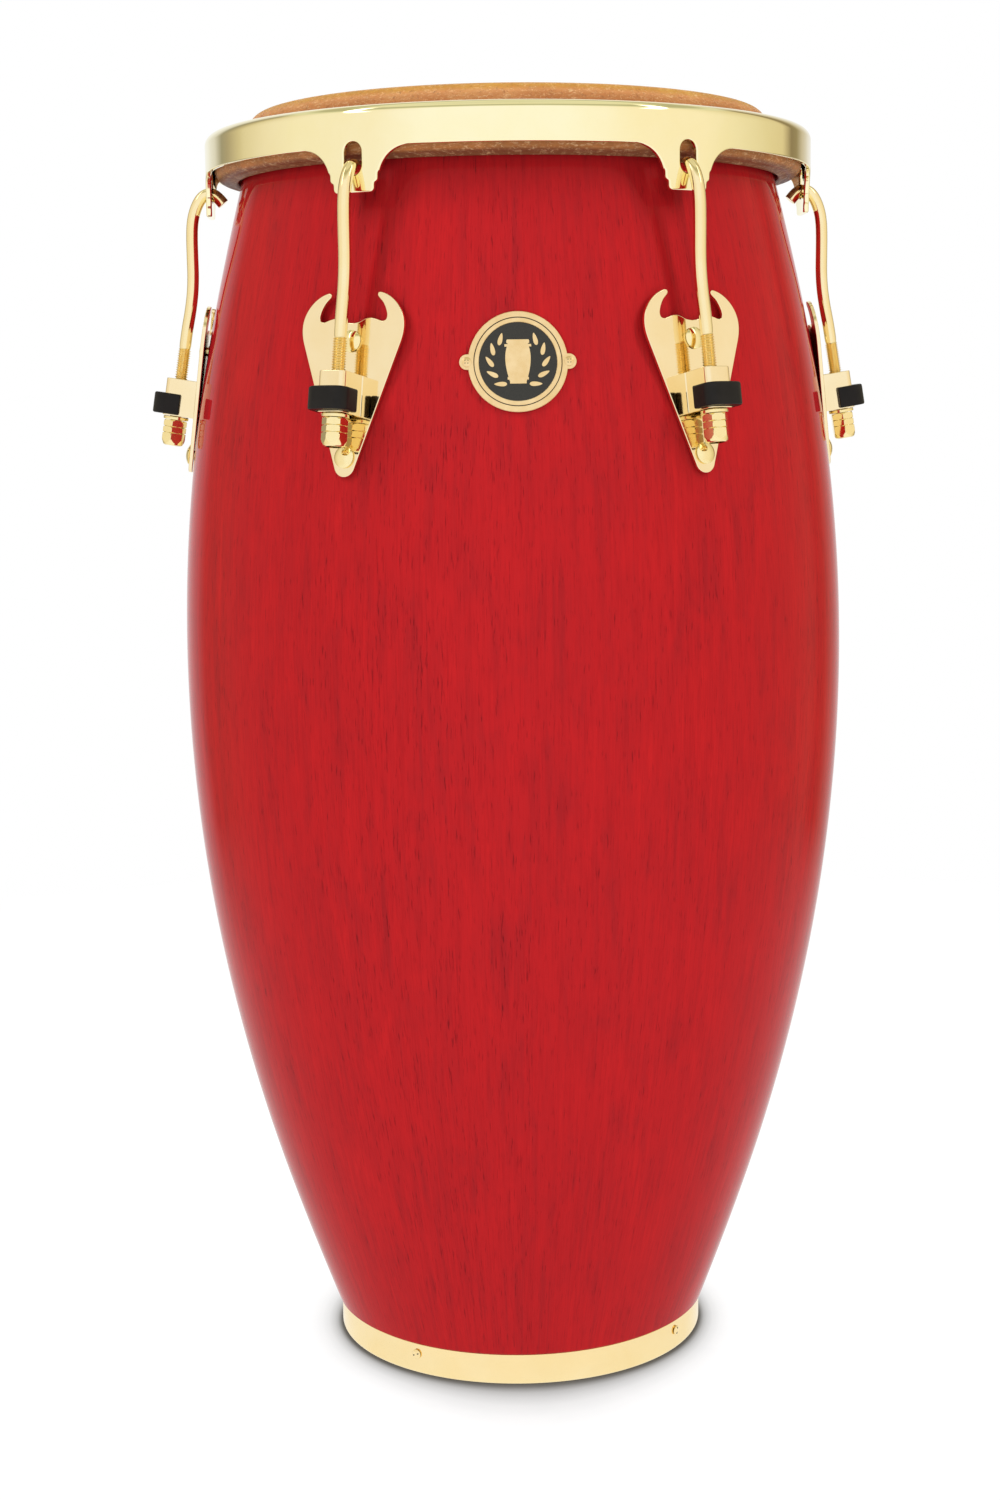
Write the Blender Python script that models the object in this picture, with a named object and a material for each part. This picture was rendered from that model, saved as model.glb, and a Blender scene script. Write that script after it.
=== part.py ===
"""Conga drum: red stave shell, rawhide head, gold crown, six tuning lugs, badge and base ring.

Metres, +Z up, origin on the floor under the drum's axis, badge facing -Y.
"""
import math

import bmesh
import bpy
from mathutils import Matrix, Vector
from mathutils.geometry import delaunay_2d_cdt

# Overall
SEGMENTS = 48
HOLE_SIDES = 8
GAP = 0.0003
TINY = 1e-7
SHARP_ANGLE = math.radians(35.0)
TOTAL_HEIGHT = 0.762

# Shell: outer radius at a few heights, joined by a natural cubic spline
SHELL_HEIGHTS = (0.0, 0.12, 0.25, 0.38, 0.50, 0.62, 0.74)
SHELL_RADII = (0.1105, 0.1529, 0.1855, 0.2014, 0.2008, 0.1851, 0.1573)
SHELL_WALL = 0.012
SHELL_BANDS = 11
REBATE_RADIUS = 0.1132
REBATE_TOP = 0.0196
SHELL_BOTTOM = 0.0031

# Head: rawhide over the bearing edge, wrapped round the flesh hoop
HIDE_THICKNESS = 0.0024
BEARING_RADIUS = 0.1405
HOOP_RADIUS = 0.1711
HOOP_HEIGHT = 0.7291
HOOP_WIRE = 0.0040

# Crown: bent sheet ring with six slotted ears
CROWN_RADIUS = 0.1835
CROWN_SHEET = 0.0035
CROWN_TOP = 0.7490
CROWN_BAND_BOTTOM = 0.7265
CROWN_SHOULDER = 0.0060
CROWN_WALL_TOP = 0.7310
CROWN_LIP_RADIUS = 0.1650
CROWN_LIP_BOTTOM = 0.7378
EAR_BOTTOM = 0.7023
EAR_HALF_WIDTH = 0.01275
EAR_CORNER = 0.0025
EAR_SHOULDERS = ((0.01275, 0.7067), (0.0149, 0.7078), (0.0149, 0.7125), (0.0162, 0.7134))
EAR_SWEEP = ((0.0162, 0.7134), (0.0180, 0.7195), (0.0230, 0.7255), (0.0330, 0.7265))
SLOT_HALF_WIDTH = 0.0055
SLOT_BOTTOM = 0.7118
SLOT_TOP = 0.7295

# Lugs, in a frame that lies on the outer face of a side plate:
# +X to the right seen from outside, -Y outward, +Z up along the plate
LUG_COUNT = 6
LUG_START = -30.0
PLATE_FACE_RADIUS = 0.19155
PLATE_FACE_HEIGHT = 0.600
PLATE_TILT = math.atan(0.16)
PLATE_THICKNESS = 0.0025
PLATE_HALF_WIDTH = 0.0323
PLATE_TIP_RADIUS = 0.0065
PLATE_TIP_CENTRE = -0.0448
UPPER_BOLT_Z = 0.0230
LOWER_BOLT_Z = -0.0405
BOLT_HEAD_RADIUS = 0.0060
BOLT_HEAD_HEIGHT = 0.0030
BOLT_SHANK_RADIUS = 0.0028
BOLT_HOLE_RADIUS = 0.0034
HOOK_OFFSET = 0.0118
HOOK_RADIUS = 0.0036
THREAD_RADIUS = 0.0039
THREAD_PITCH = 0.001411
HOOK_END_Z = -0.0335
THREAD_TOP_Z = 0.0235
HOOK_SIDES = 8
BRACKET_HALF_WIDTH = 0.0082
BRACKET_DEPTH = 0.0197
BRACKET_WALL = 0.0025
BRACKET_TOP = 0.0041
BRACKET_BOTTOM = -0.0185
GUARD_HALF_WIDTH = 0.0122
GUARD_FRONT = 0.0262
GUARD_BACK = 0.0097
GUARD_TOP = -0.0052
GUARD_BOTTOM = -0.0178
WASHER_RADIUS = 0.0077
WASHER_THICKNESS = 0.0020
NUT_FLATS = 0.0127
NUT_LENGTH = 0.0155
NUT_BORE = 0.0043
NUT_GROOVES = (-0.0044, -0.0085)
BACKING_HALF_WIDTH = 0.0085
BACKING_THICKNESS = 0.0025
BACKING_BOSS_RADIUS = 0.0062
BACKING_BOSS_LENGTH = 0.0050

# Badge, held by two pins
BADGE_AZIMUTH = -1.3
BADGE_HEIGHT = 0.6104
BADGE_RADIUS = 0.0270
BADGE_THICKNESS = 0.0014
BADGE_TAB_REACH = 0.0275
BADGE_TAB_RADIUS = 0.0042
PIN_HEAD_RADIUS = 0.0026
PIN_HEAD_HEIGHT = 0.0011
PIN_SHANK_RADIUS = 0.0009
PIN_LENGTH = 0.0070

# Base ring, held by four screws
BASE_RADIUS = 0.1160
BASE_HEIGHT = 0.0192
BASE_SHEET = 0.0025
BASE_LIP_RADIUS = 0.0980
BASE_SCREW_COUNT = 4
BASE_SCREW_START = -36.0
BASE_SCREW_HEIGHT = 0.0125
BASE_SCREW_HEAD = 0.0030
BASE_SCREW_SHANK = 0.0014
BASE_SCREW_LENGTH = 0.0080

MATERIALS = {
    "stave_wood": ((0.50, 0.022, 0.024, 1.0), 0.12, 0.0),
    "rawhide": ((0.72, 0.39, 0.14, 1.0), 0.60, 0.0),
    "hoop_steel": ((0.45, 0.45, 0.46, 1.0), 0.35, 1.0),
    "crown_gold": ((0.93, 0.82, 0.52, 1.0), 0.12, 1.0),
    "lug_gold": ((0.95, 0.80, 0.46, 1.0), 0.12, 1.0),
    "guard_rubber": ((0.012, 0.012, 0.012, 1.0), 0.55, 0.0),
    "backing_steel": ((0.50, 0.50, 0.50, 1.0), 0.45, 1.0),
    "badge_enamel": ((0.80, 0.62, 0.26, 1.0), 0.25, 1.0),
}


# ---------------------------------------------------------------- helpers

def clear_scene():
    for obj in list(bpy.data.objects):
        bpy.data.objects.remove(obj, do_unlink=True)


def material(name):
    found = bpy.data.materials.get(name)
    if found is not None:
        return found
    colour, roughness, metallic = MATERIALS[name]
    made = bpy.data.materials.new(name)
    made.use_nodes = True
    made.diffuse_color = colour
    shader = made.node_tree.nodes["Principled BSDF"]
    shader.inputs["Base Color"].default_value = colour
    shader.inputs["Roughness"].default_value = roughness
    shader.inputs["Metallic"].default_value = metallic
    return made


def finish_mesh(bm, name, material_name, parent=None, smooth=True):
    bmesh.ops.remove_doubles(bm, verts=bm.verts, dist=TINY)
    bmesh.ops.recalc_face_normals(bm, faces=bm.faces)
    mesh = bpy.data.meshes.new(name)
    bm.to_mesh(mesh)
    bm.free()
    if smooth:
        mesh.shade_smooth()
        mesh.set_sharp_from_angle(angle=SHARP_ANGLE)
    mesh.materials.append(material(material_name))
    obj = bpy.data.objects.new(name, mesh)
    bpy.context.scene.collection.objects.link(obj)
    obj.parent = parent
    return obj


def add_empty(name, matrix, parent=None):
    empty = bpy.data.objects.new(name, None)
    empty.empty_display_size = 0.02
    bpy.context.scene.collection.objects.link(empty)
    empty.parent = parent
    empty.matrix_local = matrix
    return empty


def ring_of(bm, points):
    return [bm.verts.new(p) for p in points]


def bridge(bm, first, second):
    count = len(first)
    for i in range(count):
        j = (i + 1) % count
        bm.faces.new((first[i], first[j], second[j], second[i]))


def revolve(profile, segments=SEGMENTS, closed=True):
    """Turn an (radius, height) outline about Z into a mesh; radius 0 makes one pole."""
    bm = bmesh.new()
    rows = []
    for radius, height in profile:
        if radius < TINY:
            rows.append([bm.verts.new((0.0, 0.0, height))])
            continue
        turns = [2.0 * math.pi * i / segments for i in range(segments)]
        rows.append(ring_of(bm, [(radius * math.sin(t), -radius * math.cos(t), height) for t in turns]))
    count = len(rows)
    for i in range(count if closed else count - 1):
        first, second = rows[i], rows[(i + 1) % count]
        if len(first) == 1 and len(second) == 1:
            continue
        if len(first) == 1 or len(second) == 1:
            pole, ring = (first[0], second) if len(first) == 1 else (second[0], first)
            for k in range(segments):
                bm.faces.new((pole, ring[k], ring[(k + 1) % segments]))
            continue
        bridge(bm, first, second)
    return bm


def arc(centre, radius, start, end, steps):
    """Points on an arc in a plane, angles in degrees."""
    turns = [math.radians(start + (end - start) * i / steps) for i in range(steps + 1)]
    return [(centre[0] + radius * math.cos(t), centre[1] + radius * math.sin(t)) for t in turns]


def bezier(points, steps):
    out = []
    for i in range(steps + 1):
        t = i / steps
        s = 1.0 - t
        weights = (s * s * s, 3.0 * s * s * t, 3.0 * s * t * t, t * t * t)
        out.append(tuple(sum(w * p[k] for w, p in zip(weights, points)) for k in range(2)))
    return out


def mirrored(half):
    """Close a left-right symmetric outline from its right half, listed top to bottom."""
    left = [(-x, z) for x, z in reversed(half) if abs(x) > TINY]
    return list(half) + left


def prism(outline, start, end, axis="y"):
    """Extrude a closed (x, z) outline along Y, or an (x, y) outline along Z."""
    bm = bmesh.new()
    if axis == "y":
        near = ring_of(bm, [(x, start, z) for x, z in outline])
        far = ring_of(bm, [(x, end, z) for x, z in outline])
    else:
        near = ring_of(bm, [(x, y, start) for x, y in outline])
        far = ring_of(bm, [(x, y, end) for x, y in outline])
    bm.faces.new(near)
    bm.faces.new(list(reversed(far)))
    bridge(bm, near, far)
    return bm


def turned(profile, sides, axis_matrix=None):
    """A solid of revolution with closed ends from (radius, distance) pairs."""
    bm = bmesh.new()
    rows = []
    for radius, distance in profile:
        turns = [2.0 * math.pi * (i + 0.5) / sides for i in range(sides)]
        rows.append(ring_of(bm, [(radius * math.cos(t), radius * math.sin(t), distance) for t in turns]))
    for first, second in zip(rows, rows[1:]):
        bridge(bm, first, second)
    bm.faces.new(rows[0])
    bm.faces.new(list(reversed(rows[-1])))
    if axis_matrix is not None:
        bmesh.ops.transform(bm, matrix=axis_matrix, verts=bm.verts)
    return bm


def drill(radius, start, end, axis_matrix):
    """A plain round cutter between two distances along its axis."""
    return turned([(radius, start), (radius, end)], HOLE_SIDES, axis_matrix)


def thick_sheet(bm, outer, inner, faces, keep_open):
    """Two copies of a triangle sheet joined along every free edge that is not kept open."""
    directed = set()
    for face in faces:
        bm.faces.new([outer[k] for k in face])
        bm.faces.new([inner[k] for k in reversed(face)])
        directed.update(zip(face, list(face[1:]) + [face[0]]))
    for a, b in sorted(directed):
        if (b, a) not in directed and not keep_open(a, b):
            bm.faces.new((outer[b], outer[a], inner[a], inner[b]))


def join_into(target, source):
    mesh = bpy.data.meshes.new("joined")
    source.to_mesh(mesh)
    source.free()
    target.from_mesh(mesh)
    bpy.data.meshes.remove(mesh)


def boolean(obj, cutter, operation):
    """Apply an exact boolean and drop the cutter."""
    modifier = obj.modifiers.new(operation.title(), "BOOLEAN")
    modifier.operation = operation
    modifier.solver = "EXACT"
    modifier.object = cutter
    cutter.hide_render = True
    cutter.display_type = "WIRE"
    bpy.context.view_layer.update()
    depsgraph = bpy.context.evaluated_depsgraph_get()
    result = bpy.data.meshes.new_from_object(obj.evaluated_get(depsgraph))
    obj.modifiers.remove(modifier)
    old = obj.data
    obj.data = result
    result.name = old.name
    bpy.data.meshes.remove(old)
    bpy.data.objects.remove(cutter, do_unlink=True)


# ---------------------------------------------------------------- curves of the drum

def spline_moments(xs, ys):
    """Second derivatives of the natural cubic spline through the given points."""
    count = len(xs)
    moments = [0.0] * count
    upper = [0.0] * count
    for i in range(1, count - 1):
        span = (xs[i] - xs[i - 1]) / (xs[i + 1] - xs[i - 1])
        pivot = span * moments[i - 1] + 2.0
        moments[i] = (span - 1.0) / pivot
        rise = (ys[i + 1] - ys[i]) / (xs[i + 1] - xs[i])
        rise -= (ys[i] - ys[i - 1]) / (xs[i] - xs[i - 1])
        upper[i] = (6.0 * rise / (xs[i + 1] - xs[i - 1]) - span * upper[i - 1]) / pivot
    for i in range(count - 2, -1, -1):
        moments[i] = moments[i] * moments[i + 1] + upper[i]
    return moments


SHELL_MOMENTS = spline_moments(SHELL_HEIGHTS, SHELL_RADII)


def shell_radius(height):
    last = len(SHELL_HEIGHTS) - 1
    k = 0
    while k < last - 1 and height > SHELL_HEIGHTS[k + 1]:
        k += 1
    low, high = SHELL_HEIGHTS[k], SHELL_HEIGHTS[k + 1]
    if height > high:
        slope = (SHELL_RADII[k + 1] - SHELL_RADII[k]) / (high - low)
        slope += (high - low) * (SHELL_MOMENTS[k] + 2.0 * SHELL_MOMENTS[k + 1]) / 6.0
        return SHELL_RADII[k + 1] + slope * (height - high)
    a = (high - height) / (high - low)
    b = (height - low) / (high - low)
    bend = (a ** 3 - a) * SHELL_MOMENTS[k] + (b ** 3 - b) * SHELL_MOMENTS[k + 1]
    return a * SHELL_RADII[k] + b * SHELL_RADII[k + 1] + bend * (high - low) ** 2 / 6.0


def radial(azimuth):
    """Matrix of a frame on the drum's axis with -Y pointing out at an azimuth in degrees."""
    return Matrix.Rotation(math.radians(azimuth), 4, "Z")


def lug_matrix(index):
    """Frame on a side plate's outer face: X across, -Y out, +Z up along the plate."""
    turn = radial(LUG_START + 360.0 / LUG_COUNT * index)
    place = Matrix.Translation((0.0, -PLATE_FACE_RADIUS, PLATE_FACE_HEIGHT))
    return turn @ place @ Matrix.Rotation(-PLATE_TILT, 4, "X")


# ---------------------------------------------------------------- shell

def shell_profile():
    top = TOTAL_HEIGHT - HIDE_THICKNESS - GAP
    edge = 0.0070
    neck = top - edge
    heights = [REBATE_TOP + (neck - REBATE_TOP) * i / SHELL_BANDS for i in range(SHELL_BANDS + 1)]
    outer = [(REBATE_RADIUS, SHELL_BOTTOM), (REBATE_RADIUS, REBATE_TOP)]
    outer += [(shell_radius(z), z) for z in heights]
    outer += [(shell_radius(neck) - 0.0014, top - 0.0036), (shell_radius(neck) - 0.0044, top - 0.0012)]
    outer += [(BEARING_RADIUS + 0.0020, top), (BEARING_RADIUS - 0.0016, top - 0.0010)]
    inner = []
    for i in range(SHELL_BANDS, 0, -1):
        z = heights[i] - 0.004 if i == SHELL_BANDS else heights[i]
        inner.append((shell_radius(z) - SHELL_WALL, z))
    inner.append((shell_radius(0.0) - SHELL_WALL, SHELL_BOTTOM))
    return outer + inner


def bolt_axis(height_on_plate):
    """Frame of a bolt in the lug frame, +Z pointing out of the plate."""
    return Matrix.Translation((0.0, 0.0, height_on_plate)) @ Matrix.Rotation(math.radians(90.0), 4, "X")


def shell_holes():
    """Every drilling through or into the shell, as one cutter."""
    cutter = bmesh.new()
    for index in range(LUG_COUNT):
        for height in (UPPER_BOLT_Z, LOWER_BOLT_Z):
            place = lug_matrix(index) @ bolt_axis(height)
            join_into(cutter, drill(BOLT_HOLE_RADIUS, -0.0300, 0.0100, place))
    for side in (-1.0, 1.0):
        join_into(cutter, drill(PIN_SHANK_RADIUS + GAP, -0.0090, 0.0050, badge_pin_matrix(side)))
    for index in range(BASE_SCREW_COUNT):
        join_into(cutter, drill(BASE_SCREW_SHANK + GAP, -0.0100, 0.0050, base_screw_matrix(index)))
    return cutter


def build_shell():
    shell = finish_mesh(revolve(shell_profile()), "shell", "stave_wood")
    cutter = finish_mesh(shell_holes(), "shell_cutter", "stave_wood")
    boolean(shell, cutter, "DIFFERENCE")
    return shell


# ---------------------------------------------------------------- head

def hide_centreline():
    """Middle of the rawhide, from the centre of the head to its tucked end."""
    half = HIDE_THICKNESS / 2.0
    top = TOTAL_HEIGHT - half
    bend = 0.0080
    corner = shell_radius(0.7500) + GAP + half
    path = [(0.0, top), (BEARING_RADIUS + 0.0024, top)]
    path += [(corner - 0.0078, top - 0.0004), (corner - 0.0042, top - 0.0016)]
    path += [(corner - 0.0012, top - 0.0046), (corner - 0.0002, top - bend)]
    path += [(shell_radius(0.7440) + GAP + half + 0.0002, 0.7440)]
    path += [(shell_radius(0.7385) + 0.0034, 0.7384), (HOOP_RADIUS - 0.0057, 0.7350)]
    wrap = HOOP_WIRE + GAP + half
    path += [(HOOP_RADIUS + a, HOOP_HEIGHT + b) for a, b in arc((0.0, 0.0), wrap, 90.0, -110.0, 6)]
    path += [(HOOP_RADIUS - 0.0062, HOOP_HEIGHT - 0.0066)]
    return path


def thickened(path, thickness):
    """Closed outline of a strip of constant thickness about an open path."""
    left, right = [], []
    last = len(path) - 1
    for i, point in enumerate(path):
        before = Vector(path[max(i - 1, 0)])
        after = Vector(path[min(i + 1, last)])
        along = (after - before).normalized()
        if 0 < i < last:
            first = (Vector(point) - before).normalized()
            second = (after - Vector(point)).normalized()
            along = (first + second).normalized()
            stretch = 1.0 / max(along.dot(first), 0.5)
        else:
            stretch = 1.0
        side = Vector((-along.y, along.x)) * (thickness / 2.0 * stretch)
        left.append((point[0] + side.x, point[1] + side.y))
        right.append((point[0] - side.x, point[1] - side.y))
    return left, right


def build_drumhead():
    path = hide_centreline()
    upper, lower = thickened(path, HIDE_THICKNESS)
    upper[0] = (0.0, path[0][1] + HIDE_THICKNESS / 2.0)
    lower[0] = (0.0, path[0][1] - HIDE_THICKNESS / 2.0)
    return finish_mesh(revolve(upper + list(reversed(lower)), closed=False), "drumhead", "rawhide")


def build_flesh_hoop():
    section = arc((HOOP_RADIUS, HOOP_HEIGHT), HOOP_WIRE, 0.0, 315.0, 7)
    return finish_mesh(revolve(section), "flesh_hoop", "hoop_steel")


# ---------------------------------------------------------------- crown

def ear_outline():
    """Right half of the crown's lower edge, from the middle of an ear to the plain band."""
    corner = (EAR_HALF_WIDTH - EAR_CORNER, EAR_BOTTOM + EAR_CORNER)
    points = [(0.0, EAR_BOTTOM)]
    points += arc(corner, EAR_CORNER, -90.0, 0.0, 3)
    points += list(EAR_SHOULDERS)
    points += bezier(EAR_SWEEP, 5)[1:]
    return points


def slot_outline():
    radius = SLOT_HALF_WIDTH
    upper = arc((0.0, SLOT_TOP - radius), radius, 0.0, 180.0, 6)
    lower = arc((0.0, SLOT_BOTTOM + radius), radius, 180.0, 360.0, 6)
    return upper + lower


def lower_edge(half, x):
    """Height of the crown's lower edge at a distance round from the middle of an ear."""
    for (x0, z0), (x1, z1) in zip(half, half[1:]):
        if x0 - TINY <= abs(x) <= x1 + TINY and x1 > x0 + TINY:
            return z0 + (z1 - z0) * (abs(x) - x0) / (x1 - x0)
    return CROWN_BAND_BOTTOM


def in_slot(x, z):
    low = SLOT_BOTTOM + SLOT_HALF_WIDTH
    high = SLOT_TOP - SLOT_HALF_WIDTH
    nearest = min(max(z, low), high)
    return math.hypot(x, z - nearest) < SLOT_HALF_WIDTH


class FlatPattern:
    """Points and edges of a sheet laid flat, each point held once."""

    def __init__(self):
        self.points = []
        self.edges = []

    def number(self, point):
        for k, known in enumerate(self.points):
            if math.dist(known, point) < TINY:
                return k
        self.points.append(point)
        return len(self.points) - 1

    def chain(self, points):
        numbers = [self.number(p) for p in points]
        self.edges += [pair for pair in zip(numbers, numbers[1:]) if pair[0] != pair[1]]


def crown_sector():
    """Triangles of one sixth of the crown's wall, laid flat as (arc length, height)."""
    half = ear_outline()
    span = SEGMENTS // LUG_COUNT // 2
    step = 2.0 * math.pi * CROWN_RADIUS / SEGMENTS
    plain = [(step * c, CROWN_BAND_BOTTOM) for c in range(1, span + 1) if step * c > half[-1][0]]
    right = half + plain
    bottom = [(-x, z) for x, z in reversed(right)][:-1] + right
    top = [(step * c, CROWN_WALL_TOP) for c in range(-span, span + 1)]
    slot = slot_outline()
    pattern = FlatPattern()
    pattern.chain(bottom)
    pattern.chain(top)
    pattern.chain([bottom[0], top[0]])
    pattern.chain([bottom[-1], top[-1]])
    pattern.chain(slot + [slot[0]])
    pattern.chain([(0.0, EAR_BOTTOM), (0.0, SLOT_BOTTOM)])
    pattern.chain([(0.0, SLOT_TOP), (0.0, CROWN_WALL_TOP)])
    for c in range(1, span):
        for x in (-step * c, step * c):
            pattern.chain([(x, lower_edge(half, x)), (x, CROWN_WALL_TOP)])
    result = delaunay_2d_cdt([Vector(p) for p in pattern.points], pattern.edges, [], 1, 1e-8)
    points = result[0]
    faces = []
    for face in result[2]:
        x = sum(points[k][0] for k in face) / len(face)
        z = sum(points[k][1] for k in face) / len(face)
        if not in_slot(x, z) and z > lower_edge(half, x):
            faces.append(face)
    return points, faces


def add_crown_wall(bm, azimuth, points, faces):
    """Roll the flat sector round the drum, leaving its top and its two sides open."""
    sheets = []
    for radius in (CROWN_RADIUS, CROWN_RADIUS - CROWN_SHEET):
        turns = [math.radians(azimuth) + p[0] / CROWN_RADIUS for p in points]
        places = [(radius * math.sin(t), -radius * math.cos(t), p[1]) for t, p in zip(turns, points)]
        sheets.append(ring_of(bm, places))
    side = math.pi * CROWN_RADIUS / LUG_COUNT - TINY

    def keep_open(a, b):
        on_top = min(points[a][1], points[b][1]) > CROWN_WALL_TOP - TINY
        on_side = min(abs(points[a][0]), abs(points[b][0])) > side
        return on_top or on_side

    thick_sheet(bm, sheets[0], sheets[1], faces, keep_open)


def crown_section():
    """Shoulder and rolled lip above the wall, as one open (radius, height) line."""
    lip_round = 0.0040
    inner = CROWN_RADIUS - CROWN_SHEET
    lip_inner = CROWN_LIP_RADIUS + CROWN_SHEET
    shoulder = (CROWN_RADIUS - CROWN_SHOULDER, CROWN_TOP - CROWN_SHOULDER)
    lip = (CROWN_LIP_RADIUS + lip_round, CROWN_TOP - lip_round)
    section = [(CROWN_RADIUS, CROWN_WALL_TOP)]
    section += arc(shoulder, CROWN_SHOULDER, 0.0, 90.0, 4)
    section += arc(lip, lip_round, 90.0, 180.0, 2)
    section += [(CROWN_LIP_RADIUS, CROWN_LIP_BOTTOM), (lip_inner, CROWN_LIP_BOTTOM)]
    section += [(lip_inner, lip[1] - 0.0008), (lip_inner + 0.0012, CROWN_TOP - CROWN_SHEET)]
    section += [(shoulder[0], CROWN_TOP - CROWN_SHEET), (inner, shoulder[1])]
    section += [(inner, CROWN_WALL_TOP)]
    return section


def build_crown():
    """Wall with ears and slots from a rolled flat pattern, shoulder and lip turned about the axis."""
    points, faces = crown_sector()
    bm = bmesh.new()
    for index in range(LUG_COUNT):
        add_crown_wall(bm, LUG_START + 360.0 / LUG_COUNT * index, points, faces)
    bmesh.ops.delete(bm, geom=[v for v in bm.verts if not v.link_faces], context="VERTS")
    join_into(bm, revolve(crown_section(), closed=False))
    return finish_mesh(bm, "crown", "crown_gold")


# ---------------------------------------------------------------- lug hardware

def plate_half_outline():
    """Right half of the horned side plate, from the middle of its top edge round to the tip."""
    points = [(0.0, 0.0330), (0.0040, 0.0336), (0.0078, 0.0353), (0.0112, 0.0358)]
    points += [(0.0150, 0.0350), (0.0185, 0.0339), (0.0206, 0.0345), (0.0213, 0.0363)]
    points += [(0.0206, 0.0396), (0.0184, 0.0438), (0.0150, 0.0474), (0.0149, 0.0490), (0.0162, 0.0497)]
    horn = ((0.0162, 0.0497), (0.0245, 0.0482), (0.0323, 0.0400), (PLATE_HALF_WIDTH, 0.0308))
    points += bezier(horn, 6)[1:]
    points += [(0.0320, 0.0263), (0.0300, 0.0200)]
    points += arc((0.0, PLATE_TIP_CENTRE), PLATE_TIP_RADIUS, -19.0, -90.0, 3)
    return points


def bracket_outline():
    """Plan of the bent bracket as a closed (x, y) outline, open towards the plate."""
    half = BRACKET_HALF_WIDTH
    depth = BRACKET_DEPTH
    wall = BRACKET_WALL
    corner = 0.0025
    outer = [(-half, -y) for y in (-0.0010, depth - corner)]
    outer += [(-half + 0.0008, -(depth - 0.0008)), (-half + corner, -depth)]
    outer += [(half - corner, -depth), (half - 0.0008, -(depth - 0.0008))]
    outer += [(half, -(depth - corner)), (half, 0.0010)]
    inner = [(half - wall, 0.0010), (half - wall, -(depth - wall))]
    inner += [(-half + wall, -(depth - wall)), (-half + wall, 0.0010)]
    return outer + inner


def build_side_plate(name, parent):
    plate = prism(mirrored(plate_half_outline()), 0.0, PLATE_THICKNESS)
    obj = finish_mesh(plate, name, "lug_gold", parent, smooth=False)
    bracket = prism(bracket_outline(), BRACKET_BOTTOM, BRACKET_TOP, axis="z")
    tool = finish_mesh(bracket, name + "_bracket", "lug_gold", parent, smooth=False)
    boolean(obj, tool, "UNION")
    holes = bmesh.new()
    for height in (UPPER_BOLT_Z, LOWER_BOLT_Z):
        join_into(holes, drill(BOLT_HOLE_RADIUS, -0.0060, 0.0060, bolt_axis(height)))
    tool = finish_mesh(holes, name + "_holes", "lug_gold", parent, smooth=False)
    boolean(obj, tool, "DIFFERENCE")
    return obj


def guard_outline():
    """Plan of the rubber guard, a thick U round the front of the bracket."""
    half = GUARD_HALF_WIDTH
    front = GUARD_FRONT
    cavity = BRACKET_HALF_WIDTH + GAP
    floor = BRACKET_DEPTH + GAP
    outer = [(-half, -GUARD_BACK), (-half, -(front - 0.0050)), (-half + 0.0012, -(front - 0.0022))]
    outer += [(-half + 0.0040, -(front - 0.0006)), (0.0, -front), (half - 0.0040, -(front - 0.0006))]
    outer += [(half - 0.0012, -(front - 0.0022)), (half, -(front - 0.0050)), (half, -GUARD_BACK)]
    inner = [(cavity, -GUARD_BACK), (cavity, -floor), (-cavity, -floor), (-cavity, -GUARD_BACK)]
    return outer + inner


def build_guard(name, parent):
    bm = prism(guard_outline(), GUARD_BOTTOM, GUARD_TOP, axis="z")
    return finish_mesh(bm, name, "guard_rubber", parent, smooth=False)


def build_washer(name, parent):
    top = BRACKET_BOTTOM - GAP
    bottom = top - WASHER_THICKNESS
    bore = THREAD_RADIUS + 0.0004
    profile = [(bore, top), (WASHER_RADIUS, top), (WASHER_RADIUS, bottom), (bore, bottom)]
    obj = finish_mesh(revolve(profile, segments=12), name, "lug_gold", parent)
    obj.location = (0.0, -HOOK_OFFSET, 0.0)
    return obj


def build_nut(name, parent):
    """Long hexagon nut with two turned grooves and a plain bore."""
    sides = 12
    flat = NUT_FLATS / 2.0
    corner = flat / math.cos(math.pi / 6.0)
    levels = [(0.0, 1.0)]
    for groove in NUT_GROOVES:
        levels += [(groove + 0.0005, 1.0), (groove, 0.91), (groove - 0.0005, 1.0)]
    levels += [(-NUT_LENGTH + 0.0020, 1.0), (-NUT_LENGTH, 0.80)]
    bm = bmesh.new()
    rows = []
    for drop, scale in levels:
        row = []
        for i in range(sides):
            turn = 2.0 * math.pi * i / sides
            reach = (corner if i % 2 == 0 else flat) * scale
            row.append(bm.verts.new((reach * math.cos(turn), reach * math.sin(turn), drop)))
        rows.append(row)
    for drop in (-NUT_LENGTH, 0.0):
        turns = [2.0 * math.pi * i / sides for i in range(sides)]
        rows.append(ring_of(bm, [(NUT_BORE * math.cos(t), NUT_BORE * math.sin(t), drop) for t in turns]))
    for i in range(len(rows)):
        bridge(bm, rows[i], rows[(i + 1) % len(rows)])
    obj = finish_mesh(bm, name, "lug_gold", parent, smooth=False)
    obj.location = (0.0, -HOOK_OFFSET, BRACKET_BOTTOM - WASHER_THICKNESS - 2.0 * GAP)
    return obj


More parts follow.
